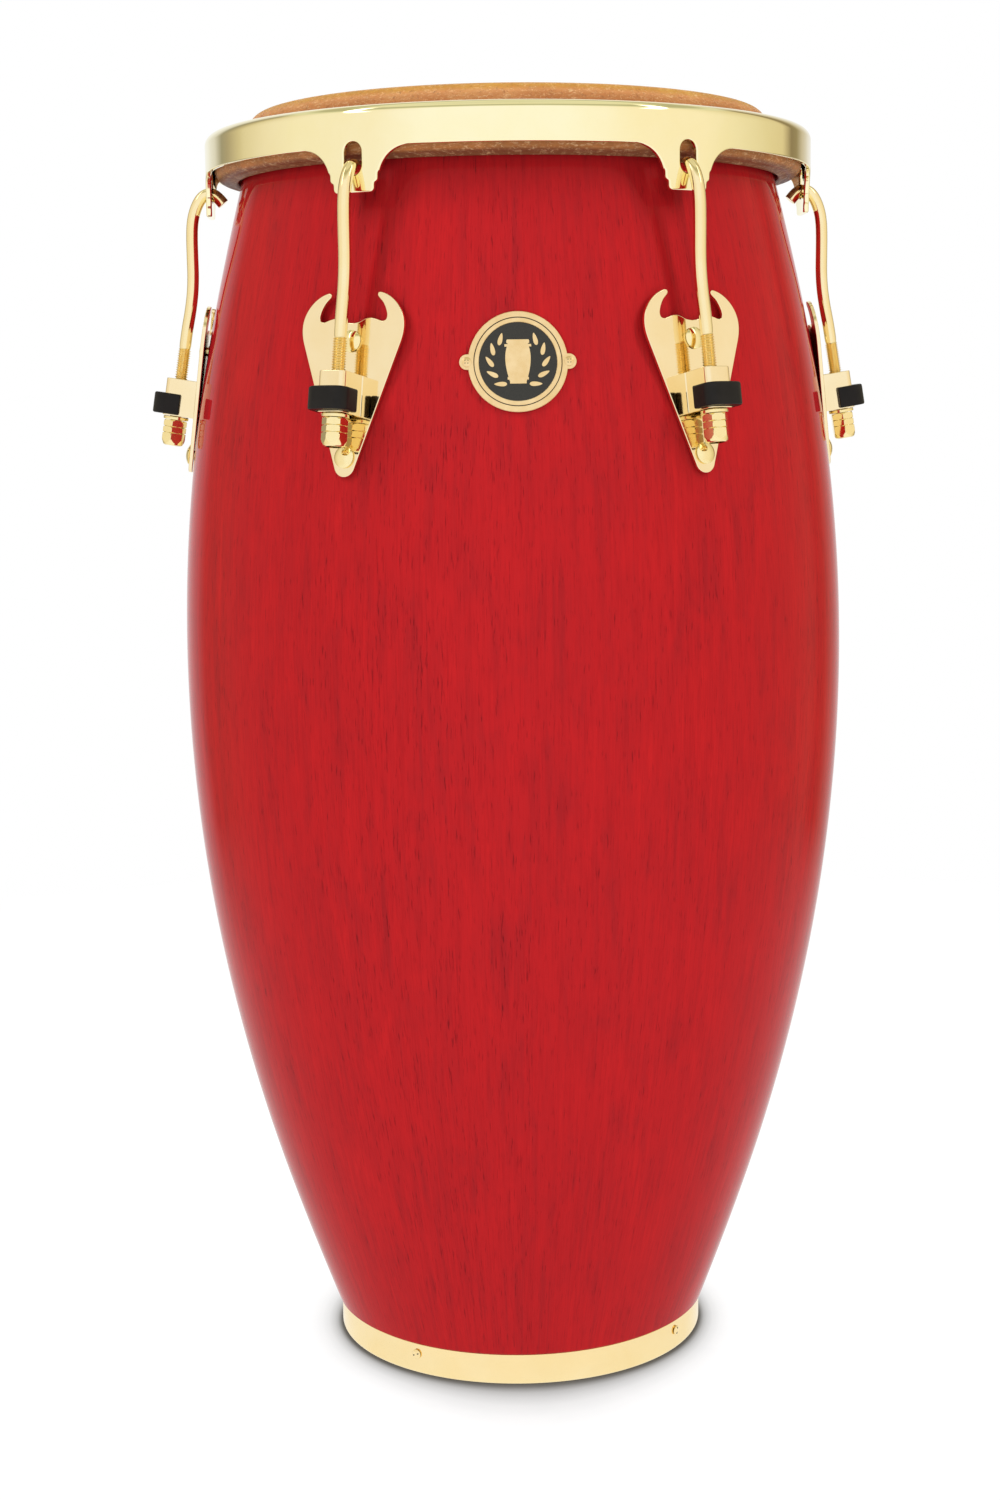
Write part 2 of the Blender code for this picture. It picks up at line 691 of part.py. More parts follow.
def hook_path():
    """Middle of the hook rod as (outward distance, height on plate, radius)."""
    thread, rod = THREAD_RADIUS, HOOK_RADIUS
    path = [(HOOK_OFFSET, HOOK_END_Z, thread - 0.0006), (HOOK_OFFSET, HOOK_END_Z + 0.0008, thread)]
    path += [(HOOK_OFFSET, THREAD_TOP_Z, thread), (HOOK_OFFSET, THREAD_TOP_Z + 0.0035, rod)]
    bends = ((0.0117, 0.0360), (0.0113, 0.0460), (0.0114, 0.0560), (0.0123, 0.0660), (0.0142, 0.0780))
    bends += ((0.0158, 0.0880), (0.0167, 0.0960), (0.0167, 0.1020), (0.0157, 0.1080), (0.0139, 0.1128))
    bends += ((0.0117, 0.1156), (0.0091, 0.1169), (0.0062, 0.1168), (0.0032, 0.1152), (-0.0001, 0.1125))
    path += [(y, z, rod) for y, z in bends]
    return path


def build_hook(name, parent):
    path = hook_path()
    bm = bmesh.new()
    rows = []
    last = len(path) - 1
    for i, (out, up, radius) in enumerate(path):
        before, after = path[max(i - 1, 0)], path[min(i + 1, last)]
        along = Vector((0.0, -(after[0] - before[0]), after[1] - before[1])).normalized()
        if i == last:
            along = Vector((0.0, 0.93, -0.37)).normalized()
        side = Vector((1.0, 0.0, 0.0))
        lift = along.cross(side).normalized()
        centre = Vector((0.0, -(out - HOOK_OFFSET), up))
        row = []
        for k in range(HOOK_SIDES):
            turn = 2.0 * math.pi * (k + 0.5) / HOOK_SIDES
            row.append(bm.verts.new(centre + (side * math.cos(turn) + lift * math.sin(turn)) * radius))
        rows.append(row)
    for first, second in zip(rows, rows[1:]):
        bridge(bm, first, second)
    bm.faces.new(rows[0])
    bm.faces.new(list(reversed(rows[-1])))
    obj = finish_mesh(bm, name, "lug_gold", parent)
    obj.location = (0.0, -HOOK_OFFSET, 0.0)
    return obj


def inner_wall_depth(height_on_plate):
    """Depth below the plate's outer face of the shell's inner wall, on the lug's centreline."""
    depth = 0.012
    for _ in range(8):
        out = -depth
        radius = PLATE_FACE_RADIUS + out * math.cos(PLATE_TILT) - height_on_plate * math.sin(PLATE_TILT)
        height = PLATE_FACE_HEIGHT + height_on_plate * math.cos(PLATE_TILT) + out * math.sin(PLATE_TILT)
        wall = shell_radius(height) - SHELL_WALL
        depth += (radius - wall) * math.cos(PLATE_TILT)
    return depth


def backing_depth():
    """Depth of the backing plate's outer face, clear of the wall at both ends and the middle."""
    heights = [LOWER_BOLT_Z - 0.012 + 0.0875 * i / 10.0 for i in range(11)]
    return max(inner_wall_depth(h) for h in heights) + 0.0014


def build_backing(name, parent):
    face = backing_depth()
    half = BACKING_HALF_WIDTH
    low, high = LOWER_BOLT_Z - 0.0110, UPPER_BOLT_Z + 0.0110
    outline = [(-half, low), (half, low), (half, high), (-half, high)]
    plate = prism(outline, face, face + BACKING_THICKNESS)
    obj = finish_mesh(plate, name, "backing_steel", parent, smooth=False)
    bosses = bmesh.new()
    holes = bmesh.new()
    for height in (UPPER_BOLT_Z, LOWER_BOLT_Z):
        start = -(face + BACKING_THICKNESS * 0.5)
        end = -(face + BACKING_THICKNESS + BACKING_BOSS_LENGTH)
        boss = [(BACKING_BOSS_RADIUS, end), (BACKING_BOSS_RADIUS, start)]
        join_into(bosses, turned(boss, 6, bolt_axis(height)))
        join_into(holes, drill(BOLT_HOLE_RADIUS, end - 0.0040, 0.0, bolt_axis(height)))
    tool = finish_mesh(bosses, name + "_bosses", "backing_steel", parent, smooth=False)
    boolean(obj, tool, "UNION")
    tool = finish_mesh(holes, name + "_holes", "backing_steel", parent, smooth=False)
    boolean(obj, tool, "DIFFERENCE")
    return obj


def build_bolt(name, height, parent):
    """Domed bolt through plate, shell and backing plate."""
    tail = -(backing_depth() + BACKING_THICKNESS + BACKING_BOSS_LENGTH + 0.0015)
    head = BOLT_HEAD_RADIUS
    profile = [(BOLT_SHANK_RADIUS, tail), (BOLT_SHANK_RADIUS, GAP), (head, GAP), (head, 0.0008)]
    profile += [(head * 0.82, 0.0020), (head * 0.42, BOLT_HEAD_HEIGHT - 0.0002)]
    bm = turned(profile, 8, bolt_axis(height))
    return finish_mesh(bm, name, "lug_gold", parent)


def build_lug(index):
    number = str(index + 1)
    frame = add_empty("lug_frame_" + number, lug_matrix(index))
    build_side_plate("side_plate_" + number, frame)
    build_guard("rubber_guard_" + number, frame)
    build_washer("lug_washer_" + number, frame)
    build_nut("lug_nut_" + number, frame)
    build_hook("tuning_hook_" + number, frame)
    build_backing("backing_plate_" + number, frame)
    build_bolt("plate_bolt_upper_" + number, UPPER_BOLT_Z, frame)
    build_bolt("plate_bolt_lower_" + number, LOWER_BOLT_Z, frame)


# ---------------------------------------------------------------- badge and base ring

def on_shell(across, height, lift):
    """Point on the shell's surface, across metres round from the badge's middle."""
    radius = shell_radius(height) + lift
    turn = math.radians(BADGE_AZIMUTH) + across / shell_radius(BADGE_HEIGHT)
    return Vector((radius * math.sin(turn), -radius * math.cos(turn), height))


def badge_pin_matrix(side):
    """Frame of a badge pin, +Z out of the badge."""
    centre = on_shell(side * BADGE_TAB_REACH, BADGE_HEIGHT, GAP + BADGE_THICKNESS)
    above = on_shell(side * BADGE_TAB_REACH, BADGE_HEIGHT + 0.002, GAP + BADGE_THICKNESS)
    right = on_shell(side * BADGE_TAB_REACH + 0.002, BADGE_HEIGHT, GAP + BADGE_THICKNESS)
    up = (above - centre).normalized()
    across = (right - centre).normalized()
    out = across.cross(up).normalized()
    up = out.cross(across)
    rotation = Matrix((across, up, out)).transposed().to_4x4()
    return Matrix.Translation(centre) @ rotation


def angle_between(first, second, opposite):
    """Angle in degrees between two sides of a triangle, from its three lengths."""
    cosine = (first ** 2 + second ** 2 - opposite ** 2) / (2.0 * first * second)
    return math.degrees(math.acos(cosine))


def badge_outline():
    """Disc with a small round tab on each side, as one closed outline."""
    reach, tab = BADGE_TAB_REACH, BADGE_TAB_RADIUS
    meet = angle_between(BADGE_RADIUS, reach, tab)
    spread = angle_between(reach, tab, BADGE_RADIUS)
    outline = arc((0.0, 0.0), BADGE_RADIUS, meet, 180.0 - meet, 12)
    outline += arc((-reach, 0.0), tab, spread, 360.0 - spread, 6)[1:-1]
    outline += arc((0.0, 0.0), BADGE_RADIUS, 180.0 + meet, 360.0 - meet, 12)
    outline += arc((reach, 0.0), tab, spread - 180.0, 180.0 - spread, 6)[1:-1]
    return outline


def build_badge():
    outline = badge_outline()
    pattern = FlatPattern()
    pattern.chain(outline + [outline[0]])
    for side in (-1.0, 1.0):
        hole = arc((side * BADGE_TAB_REACH, 0.0), PIN_SHANK_RADIUS + GAP, 0.0, 300.0, 5)
        pattern.chain(hole + [hole[0]])
    for column in range(-2, 3):
        for row in range(-1, 2):
            pattern.number((column * BADGE_RADIUS * 0.30, row * BADGE_RADIUS * 0.46))
    result = delaunay_2d_cdt([Vector(p) for p in pattern.points], pattern.edges, [], 1, 1e-8)
    points = result[0]
    faces = []
    for face in result[2]:
        x = sum(points[k][0] for k in face) / 3.0
        z = sum(points[k][1] for k in face) / 3.0
        if min(math.hypot(x - s * BADGE_TAB_REACH, z) for s in (-1.0, 1.0)) > PIN_SHANK_RADIUS + GAP * 0.5:
            faces.append(face)
    bm = bmesh.new()
    outer = ring_of(bm, [on_shell(x, BADGE_HEIGHT + z, GAP + BADGE_THICKNESS) for x, z in points])
    inner = ring_of(bm, [on_shell(x, BADGE_HEIGHT + z, GAP) for x, z in points])
    thick_sheet(bm, outer, inner, faces, lambda a, b: False)
    return finish_mesh(bm, "badge", "badge_enamel")


def build_badge_pin(name, side):
    head = PIN_HEAD_RADIUS
    profile = [(PIN_SHANK_RADIUS * 0.4, -PIN_LENGTH), (PIN_SHANK_RADIUS, -PIN_LENGTH + 0.0012)]
    profile += [(PIN_SHANK_RADIUS, GAP), (head, GAP), (head, GAP + 0.0004)]
    profile += [(head * 0.5, GAP + PIN_HEAD_HEIGHT)]
    return finish_mesh(turned(profile, 8, badge_pin_matrix(side)), name, "badge_enamel")


def base_screw_matrix(index):
    turn = radial(BASE_SCREW_START + 360.0 / BASE_SCREW_COUNT * index)
    place = Matrix.Translation((0.0, -BASE_RADIUS, BASE_SCREW_HEIGHT))
    return turn @ place @ Matrix.Rotation(math.radians(90.0), 4, "X")


def build_base_ring():
    inner = BASE_RADIUS - BASE_SHEET
    profile = [(BASE_RADIUS, BASE_HEIGHT - 0.0005), (BASE_RADIUS, 0.0008), (BASE_RADIUS - 0.0008, 0.0)]
    profile += [(BASE_LIP_RADIUS, 0.0), (BASE_LIP_RADIUS, BASE_SHEET), (inner, BASE_SHEET)]
    profile += [(inner, BASE_HEIGHT), (BASE_RADIUS - 0.0005, BASE_HEIGHT)]
    ring = finish_mesh(revolve(profile), "base_ring", "crown_gold")
    holes = bmesh.new()
    for index in range(BASE_SCREW_COUNT):
        join_into(holes, drill(BASE_SCREW_SHANK + GAP, -0.0060, 0.0050, base_screw_matrix(index)))
    boolean(ring, finish_mesh(holes, "base_cutter", "crown_gold"), "DIFFERENCE")
    return ring


def build_base_screw(name, index):
    head = BASE_SCREW_HEAD
    shank = BASE_SCREW_SHANK
    profile = [(shank * 0.4, -BASE_SCREW_LENGTH), (shank, -BASE_SCREW_LENGTH + 0.0015), (shank, GAP)]
    profile += [(head, GAP), (head, 0.0009), (head * 0.55, 0.0017)]
    return finish_mesh(turned(profile, 8, base_screw_matrix(index)), name, "crown_gold")


# ---------------------------------------------------------------- assembly

def main():
    clear_scene()
    build_shell()
    build_base_ring()
    build_drumhead()
    build_flesh_hoop()
    build_crown()
    build_badge()
    build_badge_pin("badge_pin_left", -1.0)
    build_badge_pin("badge_pin_right", 1.0)
    for index in range(BASE_SCREW_COUNT):
        build_base_screw("base_screw_" + str(index + 1), index)
    for index in range(LUG_COUNT):
        build_lug(index)


main()
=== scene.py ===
"""Looks of the conga drum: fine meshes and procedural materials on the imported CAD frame.

Metres, +Z up, the drum stands on its foot at the origin with its badge facing -Y.
"""
import math

import bmesh
import bpy
from mathutils import Matrix, Vector
from mathutils.geometry import delaunay_2d_cdt


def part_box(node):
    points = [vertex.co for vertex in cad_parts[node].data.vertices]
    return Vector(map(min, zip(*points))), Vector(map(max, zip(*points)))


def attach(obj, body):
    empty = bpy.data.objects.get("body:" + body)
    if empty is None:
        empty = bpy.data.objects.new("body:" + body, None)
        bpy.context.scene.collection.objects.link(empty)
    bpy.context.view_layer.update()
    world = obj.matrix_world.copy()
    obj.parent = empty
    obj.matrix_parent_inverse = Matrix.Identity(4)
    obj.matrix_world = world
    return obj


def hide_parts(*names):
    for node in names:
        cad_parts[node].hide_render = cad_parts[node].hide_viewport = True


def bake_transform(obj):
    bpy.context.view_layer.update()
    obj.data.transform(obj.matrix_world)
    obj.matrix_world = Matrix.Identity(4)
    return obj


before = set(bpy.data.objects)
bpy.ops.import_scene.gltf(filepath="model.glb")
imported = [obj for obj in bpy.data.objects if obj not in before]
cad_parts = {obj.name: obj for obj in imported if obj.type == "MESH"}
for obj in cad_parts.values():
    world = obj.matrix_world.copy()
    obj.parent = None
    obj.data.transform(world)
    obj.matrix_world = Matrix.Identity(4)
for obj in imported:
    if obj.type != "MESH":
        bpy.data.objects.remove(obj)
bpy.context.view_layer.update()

# Sizes repeated from the CAD model
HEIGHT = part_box("drumhead")[1].z
SHELL_HEIGHTS = (0.0, 0.12, 0.25, 0.38, 0.50, 0.62, 0.74)
SHELL_RADII = (0.1105, 0.1529, 0.1855, 0.2014, 0.2008, 0.1851, 0.1573)
SHELL_WALL = 0.012
REBATE_RADIUS = 0.1132
REBATE_TOP = 0.0196
SHELL_BOTTOM = 0.0031
HIDE_THICKNESS = 0.0024
BEARING_RADIUS = 0.1405
HOOP_RADIUS = 0.1711
HOOP_HEIGHT = 0.7291
HOOP_WIRE = 0.0040
CROWN_RADIUS = 0.1835
CROWN_SHEET = 0.0035
CROWN_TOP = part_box("crown")[1].z
CROWN_BAND_BOTTOM = 0.7265
CROWN_SHOULDER = 0.0060
CROWN_WALL_TOP = 0.7310
CROWN_LIP_RADIUS = 0.1650
CROWN_LIP_BOTTOM = 0.7378
EAR_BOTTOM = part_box("crown")[0].z
LUG_COUNT = 6
LUG_START = -30.0
PLATE_FACE_RADIUS = 0.19155
PLATE_FACE_HEIGHT = 0.600
PLATE_TILT = math.atan(0.16)
PLATE_THICKNESS = 0.0025
UPPER_BOLT_Z = 0.0230
LOWER_BOLT_Z = -0.0405
HOOK_OFFSET = 0.0118
HOOK_RADIUS = 0.0036
THREAD_RADIUS = 0.0039
THREAD_PITCH = 0.001411
HOOK_END_Z = -0.0335
THREAD_TOP_Z = 0.0235
BRACKET_HALF_WIDTH = 0.0082
BRACKET_DEPTH = 0.0197
BRACKET_WALL = 0.0025
BRACKET_TOP = 0.0041
BRACKET_BOTTOM = -0.0185
WASHER_THICKNESS = 0.0020
NUT_BORE = THREAD_RADIUS + 0.0004
NUT_FLATS = 0.0127
NUT_LENGTH = 0.0155
NUT_GROOVES = (0.0040, 0.0078)
NUT_TURNS = (-7.0, 12.0, 27.0, -18.0, 3.0, 20.0)
BADGE_AZIMUTH = -1.3
BADGE_HEIGHT = 0.6104
BADGE_RADIUS = 0.0270
BADGE_BACK = 0.0010
BADGE_FIELD = 0.0001
BADGE_THICKNESS = 0.0014
BADGE_TAB_REACH = 0.0275
BASE_RADIUS = 0.1160
BASE_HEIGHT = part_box("base_ring")[1].z
BASE_LIP_RADIUS = 0.0980
BASE_SHEET = 0.0025
BASE_SCREW_START = -36.0
BASE_SCREW_HEIGHT = 0.0125
GAP = 0.0003

# The looks' own values
STAVE_COUNT = 28
AROUND = 240
SMALL = 1e-7
ZERO = Vector((0.0, 0.0))
CAMERA_TURN = 2.6
FLOOR_REACH = 1.6


# ---------------------------------------------------------------- node graphs

class Graph:
    """The node tree of a material or a world, with short calls for the nodes used here."""

    def __init__(self, owner, shader="Principled BSDF"):
        owner.use_nodes = True
        self.owner = owner
        self.tree = owner.node_tree
        self.shader = self.tree.nodes[shader]

    def node(self, kind, **settings):
        made = self.tree.nodes.new(kind)
        for key, value in settings.items():
            setattr(made, key, value)
        return made

    def link(self, source, target):
        self.tree.links.new(source, target)

    def feed(self, socket, value):
        if isinstance(value, bpy.types.NodeSocket):
            self.link(value, socket)
        elif value is not None:
            socket.default_value = value

    def set(self, **values):
        """Shader sockets by name, spaces written as underscores."""
        for key, value in values.items():
            self.feed(self.shader.inputs[key.replace("_", " ")], value)

    def where(self, kind="Object"):
        """A texture coordinate, the place on the object unless another is named."""
        return self.node("ShaderNodeTexCoord").outputs[kind]

    def place(self, scale=(1.0, 1.0, 1.0)):
        """The place on the object, scaled along each axis."""
        mapping = self.node("ShaderNodeMapping")
        mapping.inputs["Scale"].default_value = scale
        self.link(self.where(), mapping.inputs["Vector"])
        return mapping.outputs["Vector"]

    def turn_and_height(self, where):
        """Angle about the upright axis, zero towards -Y, and the height."""
        parts = self.node("ShaderNodeSeparateXYZ")
        self.link(where, parts.inputs["Vector"])
        turn = self.math("ARCTAN2", parts.outputs["X"], self.times(parts.outputs["Y"], -1.0))
        return turn, parts.outputs["Z"]

    def point(self, x, y, z):
        made = self.node("ShaderNodeCombineXYZ")
        for socket, value in zip(made.inputs, (x, y, z)):
            self.feed(socket, value)
        return made.outputs["Vector"]

    def plus(self, first, second):
        return self.math("ADD", first, second)

    def minus(self, first, second):
        return self.math("SUBTRACT", first, second)

    def times(self, first, second):
        return self.math("MULTIPLY", first, second)

    def math(self, operation, first, second=None, third=None):
        made = self.node("ShaderNodeMath", operation=operation)
        for socket, value in zip(made.inputs, (first, second, third)):
            self.feed(socket, value)
        return made.outputs[0]

    def noise(self, vector, scale, detail=4.0, roughness=0.5, distortion=0.0):
        made = self.node("ShaderNodeTexNoise")
        self.link(vector, made.inputs["Vector"])
        made.inputs["Scale"].default_value = scale
        made.inputs["Detail"].default_value = detail
        made.inputs["Roughness"].default_value = roughness
        made.inputs["Distortion"].default_value = distortion
        return made.outputs["Fac"]

    def ramp(self, value, stops):
        """Colour stops as (position, (r, g, b))."""
        made = self.node("ShaderNodeValToRGB")
        self.link(value, made.inputs["Fac"])
        elements = made.color_ramp.elements
        while len(elements) < len(stops):
            elements.new(0.5)
        for element, (position, colour) in zip(elements, stops):
            element.position = position
            element.color = (*colour, 1.0)
        return made.outputs["Color"]

    def span(self, value, low, high, to_low=0.0, to_high=1.0):
        """A range drawn onto another one, clamped; low may be above high."""
        made = self.node("ShaderNodeMapRange")
        for socket, number in zip(made.inputs, (value, low, high, to_low, to_high)):
            self.feed(socket, number)
        return made.outputs["Result"]

    def mix(self, factor, first, second):
        made = self.node("ShaderNodeMix", data_type="RGBA")
        self.feed(made.inputs["Factor"], factor)
        for socket, value in ((made.inputs["A"], first), (made.inputs["B"], second)):
            self.feed(pick_colour(made, socket.name), value if not is_rgb(value) else (*value, 1.0))
        return pick_colour(made, "Result", output=True)

    def bump(self, height, strength, distance, below=None):
        made = self.node("ShaderNodeBump")
        made.inputs["Strength"].default_value = strength
        made.inputs["Distance"].default_value = distance
        self.link(height, made.inputs["Height"])
        if below is not None:
            self.link(below, made.inputs["Normal"])
        return made.outputs["Normal"]


def paint(name):
    """The graph of a new material."""
    return Graph(bpy.data.materials.new(name))


def is_rgb(value):
    return isinstance(value, tuple) and len(value) == 3


def pick_colour(node, name, output=False):
    """The colour socket of a Mix node, which has one of each name for each data type."""
    sockets = node.outputs if output else node.inputs
    return next(s for s in sockets if s.name == name and s.type == "RGBA")


# ---------------------------------------------------------------- materials

def stave_lacquer():
    """Transparent red lacquer over staves: cloudy upright figure, fine fibres, short dark pores."""
    g = paint("stave_lacquer")
    turn, height = g.turn_and_height(g.where())
    stave = g.times(turn, STAVE_COUNT / (2.0 * math.pi))
    tone = g.node("ShaderNodeTexWhiteNoise", noise_dimensions="1D")
    g.link(g.math("FLOOR", stave), tone.inputs["W"])
    across = g.times(turn, 0.19)

    def grain(length, scale, detail, roughness, distortion, shift=0.0):
        """Noise drawn out along the staves by the given length."""
        spot = g.point(across, g.times(tone.outputs["Value"], shift), g.math("DIVIDE", height, length))
        return g.noise(spot, scale, detail, roughness, distortion)

    cloud = grain(3.2, 44.0, 5.0, 0.66, 0.8)
    streak = grain(16.0, 230.0, 4.0, 0.62, 0.5, 0.06)
    fibre = grain(22.0, 900.0, 4.0, 0.70, 0.3, 3.0)
    pore = grain(11.0, 1150.0, 2.0, 0.50, 0.0, 5.0)
    figure = g.plus(g.times(cloud, 0.52), g.times(streak, 0.48))
    base = g.ramp(figure, [(0.36, (0.325, 0.0125, 0.0166)), (0.48, (0.405, 0.0124, 0.0160)),
                           (0.56, (0.435, 0.0124, 0.0158)), (0.68, (0.480, 0.0138, 0.0164))])
    fibred = g.mix(g.span(fibre, 0.46, 0.70, 0.0, 0.48), base, (0.285, 0.0080, 0.0115))
    depth = g.times(g.span(pore, 0.60, 0.72, 0.0, 0.85), g.span(figure, 0.40, 0.58, 1.0, 0.40))
    pored = g.mix(depth, fibred, (0.150, 0.0060, 0.0090))
    toned = g.mix(g.times(tone.outputs["Value"], 0.10), pored, (0.340, 0.0080, 0.0120))
    edge = g.math("ABSOLUTE", g.minus(g.math("FRACT", stave), 0.5))
    jointed = g.mix(g.span(edge, 0.4940, 0.4985, 0.0, 0.12), toned, (0.220, 0.0050, 0.0080))
    g.set(Base_Color=jointed, Roughness=0.30, Specular_IOR_Level=0.0, Normal=g.bump(fibre, 0.04, 0.0002))
    g.set(Coat_Weight=0.85, Coat_Roughness=0.025, Coat_IOR=1.13)
    return g.owner


def bare_wood():
    """Inside of the shell and its edges: oiled pale wood."""
    g = paint("bare_wood")
    where = g.place((1.0, 1.0, 0.06))
    rings = g.noise(where, 140.0, 5.0, 0.6, 0.5)
    fine = g.noise(where, 900.0, 3.0, 0.6)
    base = g.ramp(rings, [(0.30, (0.330, 0.185, 0.090)), (0.70, (0.500, 0.315, 0.170))])
    colour = g.mix(g.span(fine, 0.5, 0.8, 0.0, 0.5), base, (0.230, 0.120, 0.055))
    g.set(Base_Color=colour, Roughness=0.62, Normal=g.bump(fine, 0.25, 0.0003))
    return g.owner


def rawhide():
    """Mottled golden hide: pinkish down its sides, brown and fuzzy where it wraps the hoop, with a painted
    shade darkening the wrap's underside.
    """
    g = paint("rawhide")
    where = g.where()
    turn, height = g.turn_and_height(where)
    blotch = g.noise(where, 38.0, 5.0, 0.62, 0.6)
    speck = g.noise(where, 420.0, 4.0, 0.7)
    around = g.noise(g.point(g.times(turn, 0.165), 0.0, g.times(height, 2.6)), 330.0, 5.0, 0.7, 1.2)
    crossed = g.noise(where, 210.0, 5.0, 0.68, 2.2)
    flat = g.span(height, HEIGHT - 0.0040, HEIGHT - 0.0010)
    fibre = g.plus(g.times(around, g.minus(1.0, flat)),
                   g.times(crossed, flat))
    top = g.ramp(blotch, [(0.30, (0.410, 0.185, 0.032)), (0.55, (0.490, 0.235, 0.045)),
                          (0.75, (0.570, 0.320, 0.080))])
    side = g.ramp(blotch, [(0.30, (0.450, 0.190, 0.066)), (0.52, (0.550, 0.245, 0.094)),
                           (0.75, (0.620, 0.330, 0.130))])
    wrap = g.ramp(blotch, [(0.30, (0.290, 0.115, 0.032)), (0.60, (0.450, 0.175, 0.052)),
                           (0.80, (0.600, 0.290, 0.110))])
    # Painted shade: along the bottom of the wrap, below the hoop wire, the hide turns a darker brown in place
    # of the shade under the hoop.
    under = g.plus(height, g.span(blotch, 0.2, 0.8, -0.0006, 0.0006))
    underside_shade = g.span(under, HOOP_HEIGHT - 0.0060, HOOP_HEIGHT - 0.0046)
    wrap = g.mix(underside_shade, (0.190, 0.072, 0.032), wrap)
    ragged = g.plus(height, g.span(blotch, 0.2, 0.8, -0.0010, 0.0010))
    upper = g.mix(g.span(ragged, HEIGHT - 0.0052, HEIGHT - 0.0028), side, top)
    upper = g.mix(g.span(ragged, HEIGHT - 0.0100, HEIGHT - 0.0055, 0.50, 0.0), upper, (0.360, 0.105, 0.025))
    lower = g.mix(g.span(ragged, HEIGHT - 0.0165, HEIGHT - 0.0140), (0.160, 0.035, 0.022), upper)
    lowest = g.mix(g.span(ragged, CROWN_LIP_BOTTOM, CROWN_LIP_BOTTOM + 0.004), wrap, lower)
    fibred = g.mix(g.span(fibre, 0.52, 0.72, 0.0, 0.70), lowest, (0.860, 0.620, 0.360))
    dark = g.mix(g.span(speck, 0.56, 0.72, 0.0, 0.65), fibred, (0.220, 0.080, 0.030))
    relief = g.plus(g.times(fibre, 0.6), g.times(speck, 0.4))
    g.set(Base_Color=dark, Roughness=g.span(blotch, 0.2, 0.8, 0.42, 0.60))
    g.set(Normal=g.bump(relief, 0.45, 0.0006), Specular_IOR_Level=0.22)
    g.set(Subsurface_Weight=0.15, Subsurface_Radius=(0.006, 0.0025, 0.001), Subsurface_Scale=0.4)
    return g.owner


def gold(name, colour, worn, roughness):
    """Polished gold plate: faint polishing waves, tiny scratches, hazy patches, worn spots."""
    g = paint(name)
    where = g.where()
    haze = g.noise(where, 26.0, 4.0, 0.6, 0.3)
    wave = g.noise(where, 95.0, 2.0, 0.4)
    dust = g.noise(where, 1500.0, 3.0, 0.7)
    scratch = g.noise(g.place((1.0, 1.0, 14.0)), 160.0, 3.0, 0.75, 0.8)
    base = g.mix(g.span(haze, 0.35, 0.70), colour, worn)
    marked = g.mix(g.span(dust, 0.68, 0.80, 0.0, 0.35), base, (0.450, 0.300, 0.080))
    rough = g.plus(g.span(haze, 0.3, 0.75, roughness * 0.7, roughness * 1.5),
                   g.span(scratch, 0.62, 0.80, 0.0, 0.05))
    smooth = g.bump(wave, 0.020, 0.0010)
    g.set(Base_Color=marked, Metallic=1.0, Roughness=rough, Normal=g.bump(scratch, 0.03, 0.0001, smooth))
    return g.owner


def rubber():
    g = paint("guard_rubber_fine")
    where = g.place()
    soft = g.noise(where, 120.0, 3.0, 0.5)
    pebble = g.noise(where, 2400.0, 2.0, 0.6)
    colour = g.ramp(soft, [(0.3, (0.0050, 0.0042, 0.0040)), (0.7, (0.0100, 0.0085, 0.0080))])
    g.set(Base_Color=colour, Roughness=g.span(soft, 0.3, 0.7, 0.36, 0.48), Specular_IOR_Level=0.20)
    g.set(Normal=g.bump(pebble, 0.20, 0.0001))
    return g.owner


def enamel():
    """Black badge field: slightly olive enamel with fine texture."""
    g = paint("badge_black")
    speck = g.noise(g.place(), 1800.0, 3.0, 0.6)
    colour = g.ramp(speck, [(0.35, (0.009, 0.009, 0.007)), (0.70, (0.021, 0.020, 0.015))])
    g.set(Base_Color=colour, Roughness=0.34, Specular_IOR_Level=0.28, Normal=g.bump(speck, 0.08, 0.0001))
    g.set(Coat_Weight=0.4, Coat_Roughness=0.08)
    return g.owner


def brass_satin():
    """Badge metal: pale satin gold with a fine sand texture."""
    g = paint("badge_gold")
    where = g.place()
    sand = g.noise(where, 2600.0, 3.0, 0.7)
    haze = g.noise(where, 150.0, 3.0, 0.6)
    colour = g.ramp(haze, [(0.3, (0.840, 0.610, 0.300)), (0.7, (0.930, 0.720, 0.410))])
    g.set(Base_Color=colour, Metallic=1.0, Roughness=g.span(sand, 0.3, 0.7, 0.26, 0.40))
    g.set(Normal=g.bump(sand, 0.12, 0.0001))
    return g.owner


def zinc():
    g = paint("zinc_steel")
    where = g.place()
    crystal = g.node("ShaderNodeTexVoronoi")
    g.link(where, crystal.inputs["Vector"])
    crystal.inputs["Scale"].default_value = 260.0
    haze = g.noise(where, 90.0, 4.0, 0.6)
    colour = g.ramp(haze, [(0.3, (0.330, 0.335, 0.340)), (0.7, (0.520, 0.525, 0.530))])
    rough = g.span(crystal.outputs["Distance"], 0.0, 1.0, 0.34, 0.52)
    g.set(Base_Color=colour, Metallic=1.0, Roughness=rough, Normal=g.bump(haze, 0.10, 0.0002))
    return g.owner


